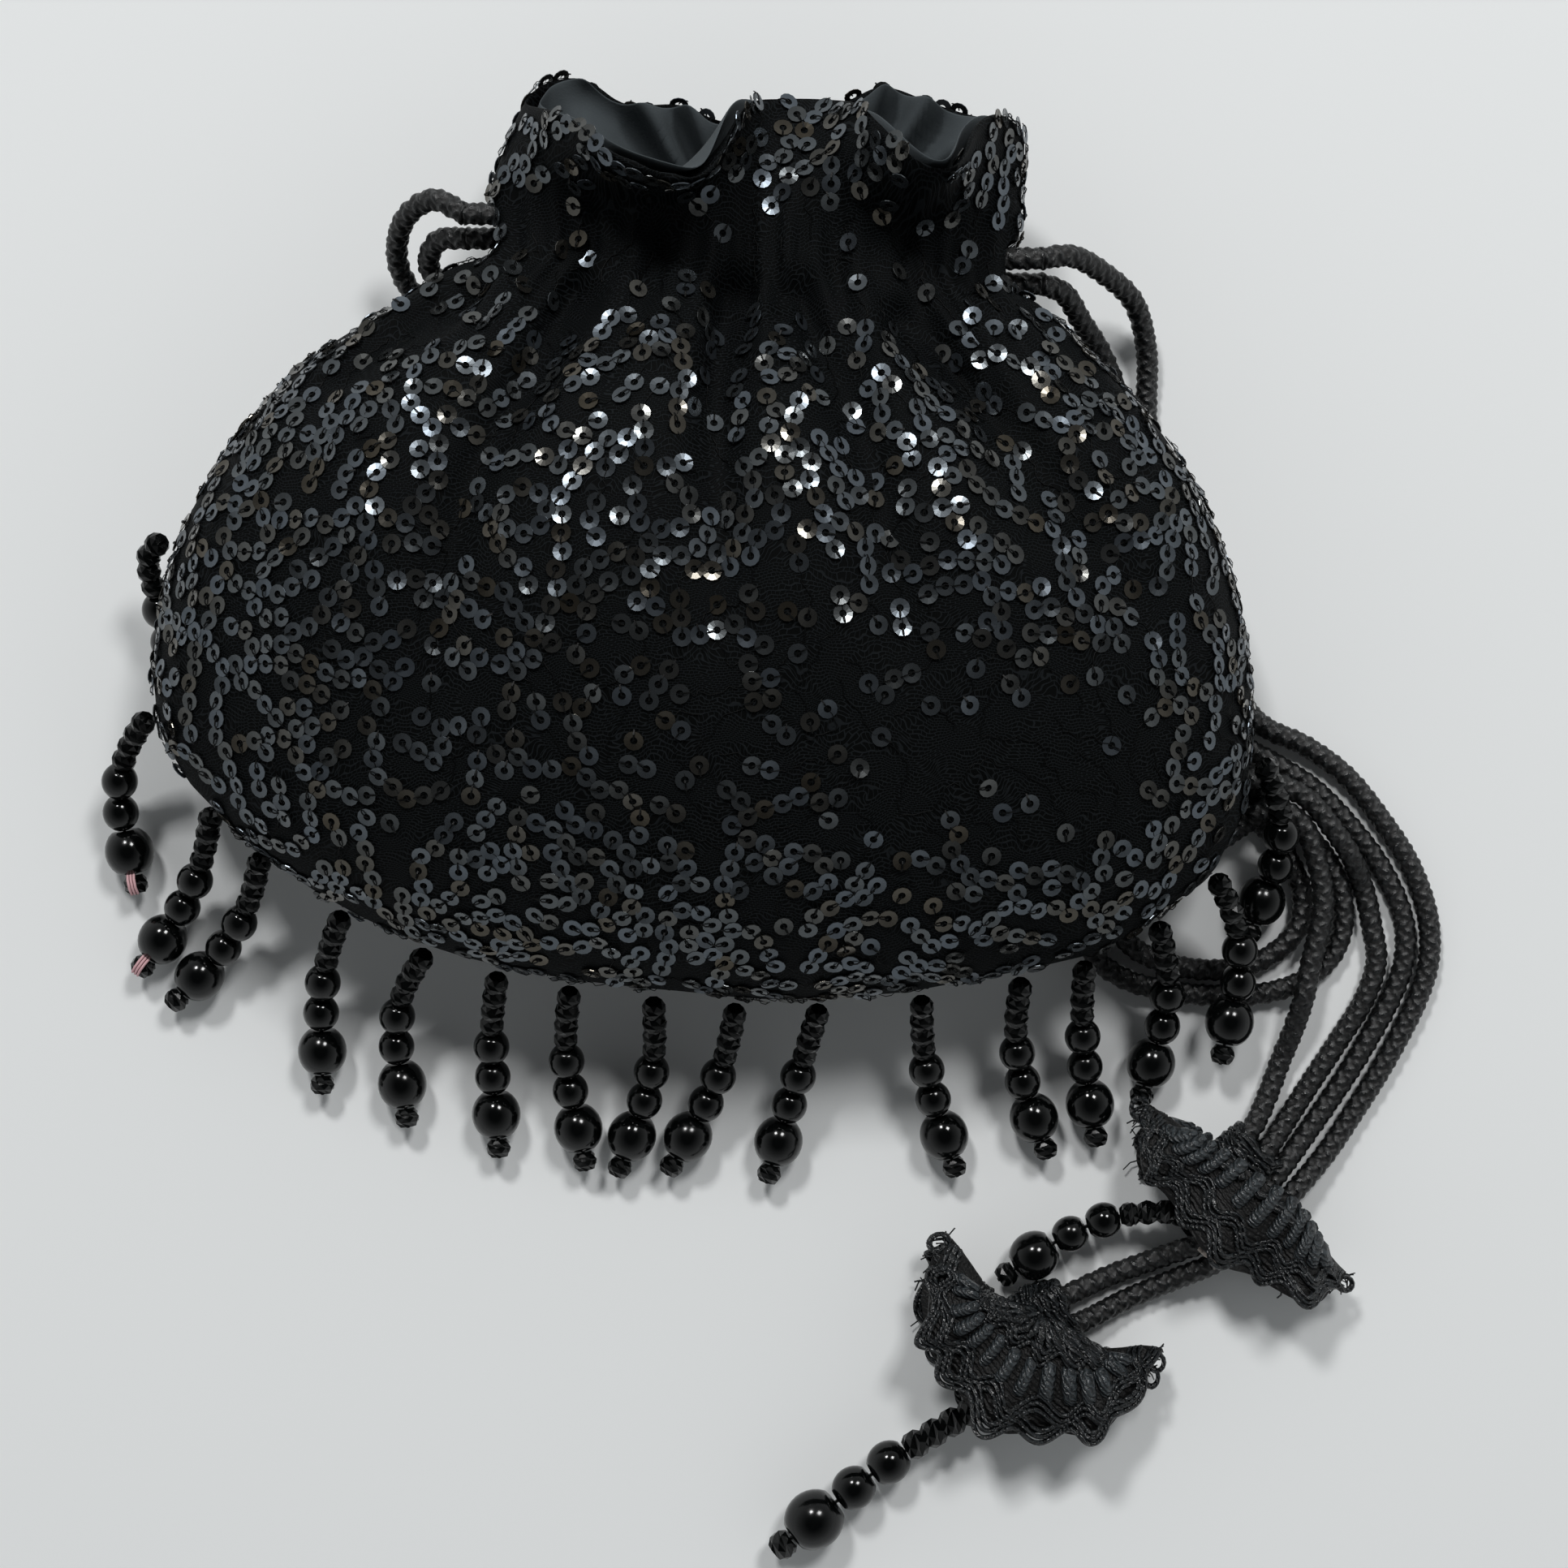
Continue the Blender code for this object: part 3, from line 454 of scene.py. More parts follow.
# %% Creases of the shell
VALLEYS = (
    ((-18.0, 50.0), (-25.0, 36.0), (-33.0, 22.0), (-38.0, 4.0), (-39.0, -14.0)),
    ((5.0, 50.0), (3.0, 34.0), (3.5, 20.0), (4.5, 2.0)),
    ((15.0, 49.0), (21.0, 36.0), (27.0, 21.0), (31.0, -4.0)),
    ((31.0, 46.0), (43.0, 33.0), (54.0, 19.0), (67.0, 3.0)),
    ((-36.0, 50.0), (-48.0, 42.0), (-60.0, 34.0)),
)
VALLEY_DEPTH = 5.0
VALLEY_WIDTH = 3.4    # from its bottom to where it is a third as deep
PLEAT = 4.6           # from one gather to the next, at the neck
CREASE = 0.55         # height of the gathers and of the slack cloth


def valley(x, y):
    """How deep in a fold's valley a place is: 1 at its bottom near the neck, less further down."""
    deepest = 0.0
    for line in VALLEYS:
        for i, (a, b) in enumerate(zip(line, line[1:])):
            run = (b[0] - a[0], b[1] - a[1])
            share = ((x - a[0]) * run[0] + (y - a[1]) * run[1]) / (run[0] ** 2 + run[1] ** 2)
            share = min(max(share, 0.0), 1.0)
            gap = math.hypot(x - a[0] - share * run[0], y - a[1] - share * run[1])
            along = (i + share) / (len(line) - 1)
            deepest = max(deepest, (1 - 0.8 * along) * math.exp(-(gap / VALLEY_WIDTH) ** 2))
    return deepest


def sunk(x, y, z):
    """How far a fold lets the front of the cloth down at a place."""
    above_seam = min(max((z - 20.0) / 10.0, 0.0), 1.0)
    return VALLEY_DEPTH * valley(x, y) * above_seam


def neck_line(x):
    """The Y of the gathered neck at a place across the bag."""
    return 58.5 - 0.076 * (x + 34.5)


def shell_crease(place, normal):
    """Gathers that fan out from the neck, slack cloth all over, and the long folds."""
    x, y, z = place
    below = neck_line(x) - y
    fan = (x - 9.0) / (1.0 + max(below, 0.0) * 0.022)
    gather = math.sin(2 * math.pi * fan / PLEAT + 1.7 * math.sin(fan * 0.21))
    if below >= 0:
        fade = math.exp(-((below - 4.0) / 17.0) ** 2)
    else:
        fade = math.exp(-(below / 9.0) ** 2)
    up = 1.0 if normal[2] > 0 else 0.35
    slack = noise.noise(Vector(place) * 0.045) * 0.9 + noise.noise(Vector(place) * 0.14) * 0.35
    if z < 1.0:
        slack = 0.0
        fade *= 0.2
    moved = np.array(normal) * (CREASE * gather * fade * up + CREASE * slack * (1 - fade))
    if below > 0:
        moved[2] -= sunk(x, y, z)
    return moved


shell = pushed(refined("outer_shell", "net_shell", 2), shell_crease)
print("shell:", len(shell.data.polygons), "faces")

# %% [markdown]
# ### Where the net's threads run
#
# The net needs coordinates that follow the cloth, or its cells would stretch where the bag
# turns over to its seam. Each point is laid out round the middle of the bag, at its straight
# distance from the highest point of its side.

# %% Lay the cloth out flat
MIDDLE = np.array([3.0, 2.0])


def lay_out(piece, top, bottom):
    """UV coordinates in millimetres; top and bottom are the highest and the lowest point."""
    mesh = piece.data
    layer = mesh.uv_layers.get("UVMap") or mesh.uv_layers.new(name="UVMap")
    places = np.array([v.co for v in mesh.vertices]) / MM
    for polygon in mesh.polygons:
        height = top if polygon.normal.z > 0 else bottom
        for loop in polygon.loop_indices:
            x, y, z = places[mesh.loops[loop].vertex_index]
            away = np.array([x, y]) - MIDDLE
            flat = max(float(np.linalg.norm(away)), 0.01)
            true = math.hypot(flat, height - z)
            layer.data[loop].uv = tuple(away * true / flat)


lay_out(shell, top=51.0, bottom=0.0)

# %% [markdown]
# ### Net over cloth
#
# The net is a warp knit with cells 0.85 mm wide, which the eye reads as rows of short dashes. A
# brick pattern has the same staggered cells, and its joints are the threads: slightly raised,
# slightly shiny, a little paler than the matt cloth that shows through the cells.

# %% Net finish
net_finish, tree, shader = new_finish("black_net_over_poplin", "#060707", 0.7)
uv = add_node(tree, "ShaderNodeTexCoord").outputs["UV"]
wander = add_node(tree, "ShaderNodeTexNoise", {"noise_dimensions": "2D"}, Vector=uv, Scale=0.12,
                  Detail=2.0)
drift = add_node(tree, "ShaderNodeVectorMath", {"operation": "SCALE"},
                 n_0=wander.outputs["Color"], Scale=7.0)
laid = add_node(tree, "ShaderNodeVectorMath", {"operation": "ADD"}, n_0=uv,
                n_1=drift.outputs[0])
net = add_node(tree, "ShaderNodeTexBrick", {"offset": 0.5}, Vector=laid.outputs[0], Scale=1.0,
               Mortar_Size=0.10, Mortar_Smooth=0.6, Brick_Width=0.85, Row_Height=0.52)
strands_seen = add_node(tree, "ShaderNodeMixRGB", Fac=net.outputs["Fac"],
                        Color1=linear("#010202"), Color2=linear("#15181a"))
tree.links.new(strands_seen.outputs[0], shader.inputs["Base Color"])
relief = add_node(tree, "ShaderNodeBump", Height=net.outputs["Fac"], Strength=0.7,
                  Distance=0.18 * MM)
tree.links.new(relief.outputs[0], shader.inputs["Normal"])
shader.inputs["Specular IOR Level"].default_value = 0.07
give(shell, net_finish)
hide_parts("outer_shell")
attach(shell, "bag")


# %% [markdown]
# ### Lining
#
# The lining is a limp crepe. Its crinkled yarns scatter light, so it stays matt and shows the
# soft folds of the mouth as broad greys.

# %% Lining
FOLDS = 26.0          # round the mouth, in a turn of 2 pi
FOLD_HEIGHT = 5.0


def lining_crease(place, normal):
    """Folds in the two open lobes of the mouth; below the neck it follows the shell's folds."""
    x, y, z = place
    if y < 58:
        return np.array([0.0, 0.0, -sunk(x, y, z)])
    angle = math.atan2(y - 56.0, x - 10.0)
    fold = math.sin(FOLDS * angle + 2.5 * noise.noise(Vector(place) * 0.06))
    lobe_middle, lobe_half = (-9.0, 13.0) if x < 15 else (37.0, 12.0)
    in_lobe = min(max((lobe_half - abs(x - lobe_middle)) / 4.0, 0.0), 1.0)
    open_here = min(max((y - 66.0) / 8.0, 0.0), 1.0) * in_lobe
    if normal[2] > 0 and z < 27:
        return np.array([0.0, 0.0, FOLD_HEIGHT * (0.5 + 0.5 * fold) ** 1.4 * open_here])
    return np.zeros(3)


lining = pushed(refined("lining", "crepe_lining", 2), lining_crease)
crepe_finish, tree, shader = new_finish("black_crepe", "#3f4548", 0.9)
coords = add_node(tree, "ShaderNodeTexCoord").outputs["Object"]
pebble = add_node(tree, "ShaderNodeTexNoise", Vector=coords, Scale=3200.0, Detail=3.0)
relief = add_node(tree, "ShaderNodeBump", Height=pebble.outputs["Fac"], Strength=0.35,
                  Distance=0.15 * MM)
tree.links.new(relief.outputs[0], shader.inputs["Normal"])
shader.inputs["Specular IOR Level"].default_value = 0.3
give(lining, crepe_finish)
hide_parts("lining")
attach(lining, "bag")

# %% [markdown]
# ## Sequins
#
# A ring sequin is stamped from thin shiny film: 3 mm across with a 1.2 mm hole. One is modelled
# as a shallow washer, from a circle whose edge is extruded inwards and then thickened. Its
# vertices are then copied to every place a sequin is sewn.


# %% One sequin
def one_sequin(outer=1.5, inner=0.58, thick=0.14, sides=12):
    """Its vertices, in millimetres, and its faces."""
    bpy.ops.object.select_all(action="DESELECT")
    bpy.ops.mesh.primitive_circle_add(vertices=sides, radius=outer, fill_type="NOTHING")
    ring = bpy.context.object
    bpy.ops.object.mode_set(mode="EDIT")
    bpy.ops.mesh.select_all(action="SELECT")
    bpy.ops.mesh.extrude_edges_move(TRANSFORM_OT_translate={"value": (0, 0, -0.08)})
    bpy.ops.transform.resize(value=(inner / outer, inner / outer, 1.0))
    bpy.ops.object.mode_set(mode="OBJECT")
    wall = ring.modifiers.new("film", "SOLIDIFY")
    wall.thickness = thick
    bpy.ops.object.modifier_apply(modifier=wall.name)
    vertices = np.array([v.co for v in ring.data.vertices])
    faces = [tuple(p.vertices) for p in ring.data.polygons]
    bpy.data.objects.remove(ring)
    return vertices, faces


sequin_vertices, sequin_faces = one_sequin()
print("a sequin has", len(sequin_faces), "faces")

# %% [markdown]
# ### Sewing them on
#
# The sequins are sewn in one long meandering line of thread, each touching the last. So each
# run here starts at a free place and walks over the cloth, a sequin at a time, and turns away
# from what is already sewn. Some runs are broken, where sequins have come off and only the
# thread is left: most of these are in one band low on the front, and the neck is left mostly
# bare. Sequins are also left off in the bottoms of the long folds, so that the bare black cloth
# there is painted shade in the folds.

# %% Walk over the cloth
SPACING = 2.75    # from one sequin's middle to the next
TRIES = 5200      # places tried as the start of a run
sewing = random.Random(11)


def bare_share(x, y, front):
    """How much of the cloth is left bare at a place."""
    if not front:
        return 0.12
    band = math.exp(-((y + 18.0) / 15.0) ** 2) * math.exp(-((x - 18.0) / 50.0) ** 2)
    right = math.exp(-((y + 24.0) / 15.0) ** 2) * math.exp(-((x - 52.0) / 22.0) ** 2)
    neck = math.exp(-((y - 56.0) / 9.0) ** 4) * math.exp(-((x - 10.0) / 36.0) ** 4)
    # The valley term leaves the bottoms of the folds bare: painted shade.
    return min(0.04 + 0.62 * band + 0.6 * right + 0.9 * neck + 0.9 * valley(x, y), 0.94)


def cloth_tree(piece):
    """A tree of the piece's faces, for finding the nearest place and for casting rays."""
    return BVHTree.FromObject(piece, bpy.context.evaluated_depsgraph_get())


class Sewn:
    """Places already taken, in a grid that is quick to search."""

    def __init__(self, reach):
        self.reach = reach
        self.cells = {}

    def cell(self, place):
        return tuple(int(math.floor(c / self.reach)) for c in place)

    def add(self, place):
        self.cells.setdefault(self.cell(place), []).append(place)

    def free(self, place, distance):
        i, j, k = self.cell(place)
        for a in (i - 1, i, i + 1):
            for b in (j - 1, j, j + 1):
                for c in (k - 1, k, k + 1):
                    for other in self.cells.get((a, b, c), ()):
                        if (other - place).length < distance:
                            return False
        return True


tree_of_cloth = cloth_tree(shell)
inner_tree = cloth_tree(lining)


def on_cloth(place):
    """The nearest place on the outside of the cloth, and the way out there."""
    found = tree_of_cloth.find_nearest(place * MM)
    return found[0] / MM, found[1]


def outside(place, normal):
    """Whether the cloth's outer wall is here, and not the wall that faces the lining."""
    hit = inner_tree.ray_cast((place + normal * 0.3) * MM, normal, 30 * MM)
    return hit[0] is None


def run_from(place, heading, most, taken):
    """A run of sequins: the place, way out and heading of each."""
    run = []
    place, normal = on_cloth(place)
    turn = 0.0
    for _ in range(most):
        ahead = heading - heading.dot(normal) * normal
        if ahead.length < 1e-6:
            break
        heading = ahead.normalized()
        found = None
        for swing in (turn, turn + 0.8, turn - 0.8, turn + 1.6, turn - 1.6):
            trial = Matrix.Rotation(swing, 3, normal) @ heading
            step, out = on_cloth(place + trial * SPACING)
            if out.dot(normal) > 0.2 and step.z > 0.9 and taken.free(step, SPACING * 0.9):
                found = (step, out, trial)
                break
        if found is None:
            break
        place, normal, heading = found
        taken.add(place)
        run.append(found)
        turn = sewing.choice((-0.75, -0.45, -0.1, 0.1, 0.45, 0.75))
    return run


# %% Sew the shell
box_low, box_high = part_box("outer_shell")
taken = Sewn(SPACING)
runs = []
for _ in range(TRIES):
    x = sewing.uniform(box_low.x, box_high.x) / MM
    y = sewing.uniform(box_low.y, box_high.y) / MM
    from_above = sewing.random() < 0.62
    z = 80.0 if from_above else -30.0
    way = Vector((0, 0, -1)) if from_above else Vector((0, 0, 1))
    hit = tree_of_cloth.ray_cast(Vector((x, y, z)) * MM, way)
    if hit[0] is None:
        continue
    start = hit[0] / MM
    if not outside(start, hit[1]) or not taken.free(start, SPACING * 0.95):
        continue
    angle = sewing.uniform(0, 2 * math.pi)
    heading = Vector((math.cos(angle), math.sin(angle), 0.0))
    runs.append(run_from(start, heading, sewing.randint(6, 26), taken))
print("runs:", len(runs), "places:", sum(len(run) for run in runs))


# %% [markdown]
# ### A mesh of many copies
#
# Thousands of objects would be slow to work with, so the copies go into a few meshes. A number
# on each copy lets the finish vary from one sequin to the next.

# %% Many copies in one mesh
def many(name, shape, places, numbers):
    """One mesh of copies of a shape (vertices, faces), each with its matrix and its number."""
    vertices, faces = shape
    count = len(vertices)
    all_vertices = np.concatenate([vertices @ np.array(m.to_3x3()).T + np.array(m.translation)
                                   for m in places]) * MM
    all_faces = [tuple(v + i * count for v in face) for i in range(len(places)) for face in faces]
    mesh = bpy.data.meshes.new(name)
    mesh.from_pydata(all_vertices.tolist(), [], all_faces)
    tint = mesh.attributes.new("tint", "FLOAT", "POINT")
    tint.data.foreach_set("value", np.repeat(numbers, count).astype(np.float32))
    return add_piece(name, mesh)


def stood(place, normal, heading, lean, lift):
    """A matrix that lays a copy on the cloth, leaning a little along its heading."""
    across = normal.cross(heading).normalized()
    ahead = across.cross(normal).normalized()
    base = Matrix((ahead, across, normal)).transposed()
    tilted = Matrix.Rotation(lean[0], 3, across) @ Matrix.Rotation(lean[1], 3, ahead) @ base
    made = tilted.to_4x4()
    made.translation = place + normal * lift
    return made


string_roots = [Vector(joint["pos_m"]) / MM for joint in frame["joints"]]
ROOT_ROOM = 6.5       # no sequin is sewn so near a string's root, under the seam
THREAD_LIFT = 0.22    # from the cloth to the sewing thread
SEQUIN_LIFT = 0.42    # and to the middle of a sequin
front_places, back_places, frill_places, thread_runs = [], [], [], []
for run in runs:
    line = []
    for place, normal, heading in run:
        line.append(place + normal * THREAD_LIFT)
        front = normal.z > -0.1
        if sewing.random() < bare_share(place.x, place.y, front):
            continue
        lean = (sewing.gauss(-0.10, 0.075), sewing.gauss(0.0, 0.07))
        spot = stood(place, normal, heading, lean, SEQUIN_LIFT)
        if place.y > 60:
            frill_places.append(spot)
        elif front:
            front_places.append(spot)
        elif all((place - root).length > ROOT_ROOM for root in string_roots):
            back_places.append(spot)
    if len(line) > 2:
        thread_runs.append(line)
print("sequins:", len(front_places), "front,", len(back_places), "back,", len(frill_places),
      "on the frill")

# %% [markdown]
# ### Sequin film
#
# The film is black plastic, hot-stamped smooth, with a faint brown or blue cast from one sequin
# to the next. It mirrors whatever it faces, weakly, so most of them read as dark grey and the
# few that face a lamp flash white.

# %% Sequin finish
film_finish, tree, shader = new_finish("black_pet_film", "#54585b", 0.2, metallic=0.85)
number = add_node(tree, "ShaderNodeAttribute", {"attribute_name": "tint"})
cast = add_node(tree, "ShaderNodeValToRGB", Fac=number.outputs["Fac"])
cast.color_ramp.elements[0].color = linear("#4d483f")
cast.color_ramp.elements[1].color = linear("#5a6168")
middle_cast = cast.color_ramp.elements.new(0.4)
middle_cast.color = linear("#54585a")
tree.links.new(cast.outputs[0], shader.inputs["Base Color"])
dull = add_node(tree, "ShaderNodeMapRange", Value=number.outputs["Fac"], To_Min=0.14, To_Max=0.3)
tree.links.new(dull.outputs[0], shader.inputs["Roughness"])

sequins = {}
for name, places in (("sequins_front", front_places), ("sequins_back", back_places),
                     ("sequins_frill", frill_places)):
    numbers = [sewing.random() for _ in places]
    sequins[name] = many(name, (sequin_vertices, sequin_faces), places, numbers)
    give(sequins[name], film_finish)
    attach(sequins[name], "bag")


# %% [markdown]
# ### Stitches
#
# A stitch goes from each sequin's hole over its rim, and the sewing thread runs on under the
# row. The stitch is a short arched strip; the run is a thin round thread.

# %% Stitches over the rims
def one_stitch():
    """An arched strip from the hole to just past the rim."""
    profile = ((0.0, -0.12), (0.35, 0.16), (1.1, 0.2), (1.75, -0.3))
    half, thick = 0.11, 0.12
    vertices = []
    for x, z in profile:
        vertices += [(x, -half, z), (x, half, z), (x, half, z + thick), (x, -half, z + thick)]
    faces = [(3, 2, 1, 0), (12, 13, 14, 15)]
    for i in range(3):
        for k in range(4):
            a, b = 4 * i + k, 4 * i + (k + 1) % 4
            faces.append((a, b, b + 4, a + 4))
    return np.array(vertices), faces


thread_finish, tree, shader = new_finish("black_sewing_thread", "#050606", 0.4)
coords = add_node(tree, "ShaderNodeTexCoord").outputs["Object"]
twist = add_node(tree, "ShaderNodeTexNoise", Vector=coords, Scale=2600.0, Detail=2.0)
relief = add_node(tree, "ShaderNodeBump", Height=twist.outputs["Fac"], Strength=0.3,
                  Distance=0.1 * MM)
tree.links.new(relief.outputs[0], shader.inputs["Normal"])
shader.inputs["Specular IOR Level"].default_value = 0.12

all_places = front_places + back_places + frill_places
stitches = many("stitches", one_stitch(), all_places, [0.5] * len(all_places))
give(stitches, thread_finish)
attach(stitches, "bag")


# %% Thin threads as curves
def threads(name, lines, radius, resolution=1):
    """Thin round threads along lines of points, in one piece, as a mesh."""
    data = bpy.data.curves.new(name, "CURVE")
    data.dimensions = "3D"
    data.bevel_depth = radius * MM
    data.bevel_resolution = resolution
    data.use_fill_caps = True
    for line in lines:
        spline = data.splines.new("POLY")
        spline.points.add(len(line) - 1)
        for point, place in zip(spline.points, line):
            point.co = (*(Vector(place) * MM), 1.0)
    select_only(add_piece(name, data))
    bpy.ops.object.convert(target="MESH")
    bpy.ops.object.shade_smooth()
    return bpy.context.object


def wandering(line):
    """The line with extra points between its own, pushed about as a slack thread lies."""
    rough = []
    for a, b in zip(line, line[1:]):
        for share in (0.0, 0.35, 0.7):
            spot = a.lerp(b, share)
            jitter = Vector((sewing.uniform(-0.4, 0.4), sewing.uniform(-0.4, 0.4), 0.0))
            rough.append(spot + jitter)
    return rough + [line[-1]]


run_thread = threads("sewing_thread", [wandering(line) for line in thread_runs], 0.08, 0)
give(run_thread, thread_finish)
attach(run_thread, "bag")

# %% [markdown]
# ## Beaded strings
#
# Each string carries four faceted rondelles, two round beads, one large bead and a rondelle as
# a stop. A rondelle is a barrel cut all round into flat facets, so a coarse sphere is shaded
# flat, its rows are turned half a step from one another, and its ends are levelled. Each bead is
# modelled once.


# %% One bead of each kind
def round_bead():
    """A smooth ball, a diameter of 1, its poles pressed in where the thread goes through."""
    bpy.ops.object.select_all(action="DESELECT")
    bpy.ops.mesh.primitive_uv_sphere_add(segments=28, ring_count=16, radius=0.5)
    ball = bpy.context.object
    ball.name = "template_pearl"
    bpy.ops.object.shade_smooth()
    for vertex in ball.data.vertices:
        if abs(vertex.co.z) > 0.46:
            vertex.co.z *= 0.9
    return ball


def faceted_bead():
    """A rondelle, 1 across and 1 long: a belt of lozenges between two flat tables."""
    bpy.ops.object.select_all(action="DESELECT")
    bpy.ops.mesh.primitive_uv_sphere_add(segments=8, ring_count=6, radius=0.5)
    bead = bpy.context.object
    bead.name = "template_rondelle"
    belt = {0: 0.5, 1: 0.47, 2: 0.34}
    for vertex in bead.data.vertices:
        height = vertex.co.z
        level = round(math.degrees(math.asin(min(max(height / 0.5, -1.0), 1.0))) / 30)
        if abs(level) == 3:
            vertex.co.z = math.copysign(0.44, height)
            continue
        angle = math.atan2(vertex.co.y, vertex.co.x) + (math.pi / 8 if level % 2 else 0.0)
        radius = belt[abs(level)]
        vertex.co.x = radius * math.cos(angle)
        vertex.co.y = radius * math.sin(angle)
        vertex.co.z = (0.0, 0.24, 0.48)[abs(level)] * (1 if level > 0 else -1)
    return bead


rondelle = faceted_bead()
pearl = round_bead()

# %% [markdown]
# ### How a string hangs
#
# A string leaves the seam, sinks to the table under its own weight, and turns as it goes. The
# two functions below give the place of each bead along it, in millimetres.

# %% Places along a string
# each bead: its width and its length
RONDELLE = (4.0, 2.9)
MEDIUM = (5.8, 5.8)
LARGE = (7.9, 7.9)
FRINGE = (RONDELLE,) * 4 + (MEDIUM,) * 2 + (LARGE, RONDELLE)
SEAM_Z = 18.0
TOUCH = 0.35     # half the bare thread between the seam and the first bead
DROOP = 1.25     # over 1, the string sinks faster near the seam than near the table
# each string: its heading at the seam and at its end, in degrees; how far its end is lifted and
# its middle is humped, where it lies over something; the share of its length over which it turns
STRINGS = (
    (196, 279, 0.0, 0.0, 0.32), (226, 281, 0.0, 0.0, 1.0), (254, 234, 0.0, 0.0, 1.0),
    (252, 226, 0.0, 0.0, 1.0), (243, 270, 0.0, 0.0, 1.0), (232, 278, 0.0, 0.0, 1.0),
    (258, 274, 0.0, 0.0, 1.0), (260, 281, 0.0, 0.0, 1.0), (272, 249, 0.0, 0.0, 1.0),
    (260, 241, 0.0, 0.0, 1.0), (254, 254, 0.0, 0.0, 1.0), (272, 288, 0.0, 0.0, 1.0),
    (264, 290, 0.0, 0.0, 1.0), (270, 280, 0.0, 0.0, 1.0), (290, 254, 0.0, 0.0, 1.0),
    (302, 258, 2.3, 0.0, 1.0), (300, 250, 0.0, 1.0, 1.0),
)


def ease(x):
    """0 to 1, slow at both ends."""
    x = min(max(x, 0.0), 1.0)
    return x * x * (3 - 2 * x)


def hanging_path(start, headings, z_end, hump, turned, reach):
    """A function of distance: a string that sinks from start to z_end over reach."""
    fine = 240
    runs_on = 1.35    # past its reach, for the last bead
    step = reach * runs_on / fine
    points = [np.array(start, float)]
    fall = start[2] - z_end
    for i in range(fine):
        here = i * step
        left = max(1 - (here + step) / reach, 0.0)
        z = z_end + fall * left ** DROOP + hump * math.sin(math.pi * left)
        drop = z - points[-1][2]
        level = math.sqrt(max(step * step - drop * drop, 0.0))
        turn = ease(here / (reach * turned))
        heading = math.radians(headings[0] + (headings[1] - headings[0]) * turn)
        points.append(points[-1] + np.array([level * math.cos(heading),
                                             level * math.sin(heading), drop]))
    points = np.array(points)

    def place(distance):
        return Vector([float(np.interp(distance / step, range(fine + 1), points[:, k]))
                       for k in range(3)])

    return place


# %% String the beads
glass_finish, tree, shader = new_finish("jet_glass", "#040505", 0.07, ior=1.54)
coords = add_node(tree, "ShaderNodeTexCoord").outputs["Object"]
smear = add_node(tree, "ShaderNodeTexNoise", Vector=coords, Scale=260.0, Detail=3.0)
polish = add_node(tree, "ShaderNodeMapRange", Value=smear.outputs["Fac"], From_Min=0.3,
                  From_Max=0.7, To_Min=0.08, To_Max=0.2)
tree.links.new(polish.outputs[0], shader.inputs["Roughness"])
shader.inputs["Specular IOR Level"].default_value = 0.34


def bead_string(name, start, headings, lift=0.0, hump=0.0, turned=1.0, scale=1.0):
    """A string of beads from its first bead at start, as one piece."""
    z_end = LARGE[0] / 2 * scale + 0.05 + lift
    centres = []
    along = 2 * TOUCH
    for _, long in FRINGE:
        centres.append(along + long * scale / 2)
        along += long * scale
    place = hanging_path(start, headings, z_end, hump, turned, centres[-2])
    parts = []
    for centre, (wide, long) in zip(centres, FRINGE):
        template = rondelle if wide == RONDELLE[0] else pearl
        bead = add_piece(name + "_bead", template.data.copy())
        spot = place(centre)
        ahead = (place(centre + 0.6) - place(centre - 0.6)).normalized()
        roll = Matrix.Rotation(centre * 0.9, 4, "Z")
        size = Matrix.Diagonal((wide * scale, wide * scale, long * scale * 1.06, 1.0))
        turn = ahead.to_track_quat("Z", "Y").to_matrix().to_4x4()
        bead.data.transform(Matrix.Scale(MM, 4) @ Matrix.Translation(spot) @ turn @ roll @ size)
        parts.append(bead)
    line = [place(d) for d in np.linspace(0.0, along + 0.25, 30)]
    parts.append(threads(name + "_thread", [line], 0.3))
    piece = joined(name, parts)
    give(piece, glass_finish)
    gaps[name] = (place(along - RONDELLE[1] * scale), ahead)
    return piece


strung = {}
gaps = {}
for number, (first, last, lift, hump, turned) in enumerate(STRINGS, 1):
    node = f"fringe_{number:02d}"
    joint = next(j for j in frame["joints"] if j["child"] == node)
    start = (joint["pos_m"][0] / MM, joint["pos_m"][1] / MM, SEAM_Z)
    strung[node] = bead_string(f"beads_{number:02d}", start, (first, last), lift, hump, turned)
    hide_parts(node)
    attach(strung[node], node)
pendants = {
    "near": bead_string("beads_near", (79.6, -93.6, 7.8), (178.0, 214.0)),
    "far": bead_string("beads_far", (45.6, -125.0, 4.3), (209.0, 219.0), scale=1.2),
}
for end, piece in pendants.items():
    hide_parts("pendant_" + end)
    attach(piece, "bag")
bpy.data.objects.remove(rondelle)
bpy.data.objects.remove(pearl)
print("strings:", len(strung) + len(pendants))

# %% [markdown]
# ### Bits of other thread
#
# Two of the strings at the left carry a few turns of pink cotton over their last rondelle, and
# a pale frayed end of thread lies by the near tassel.

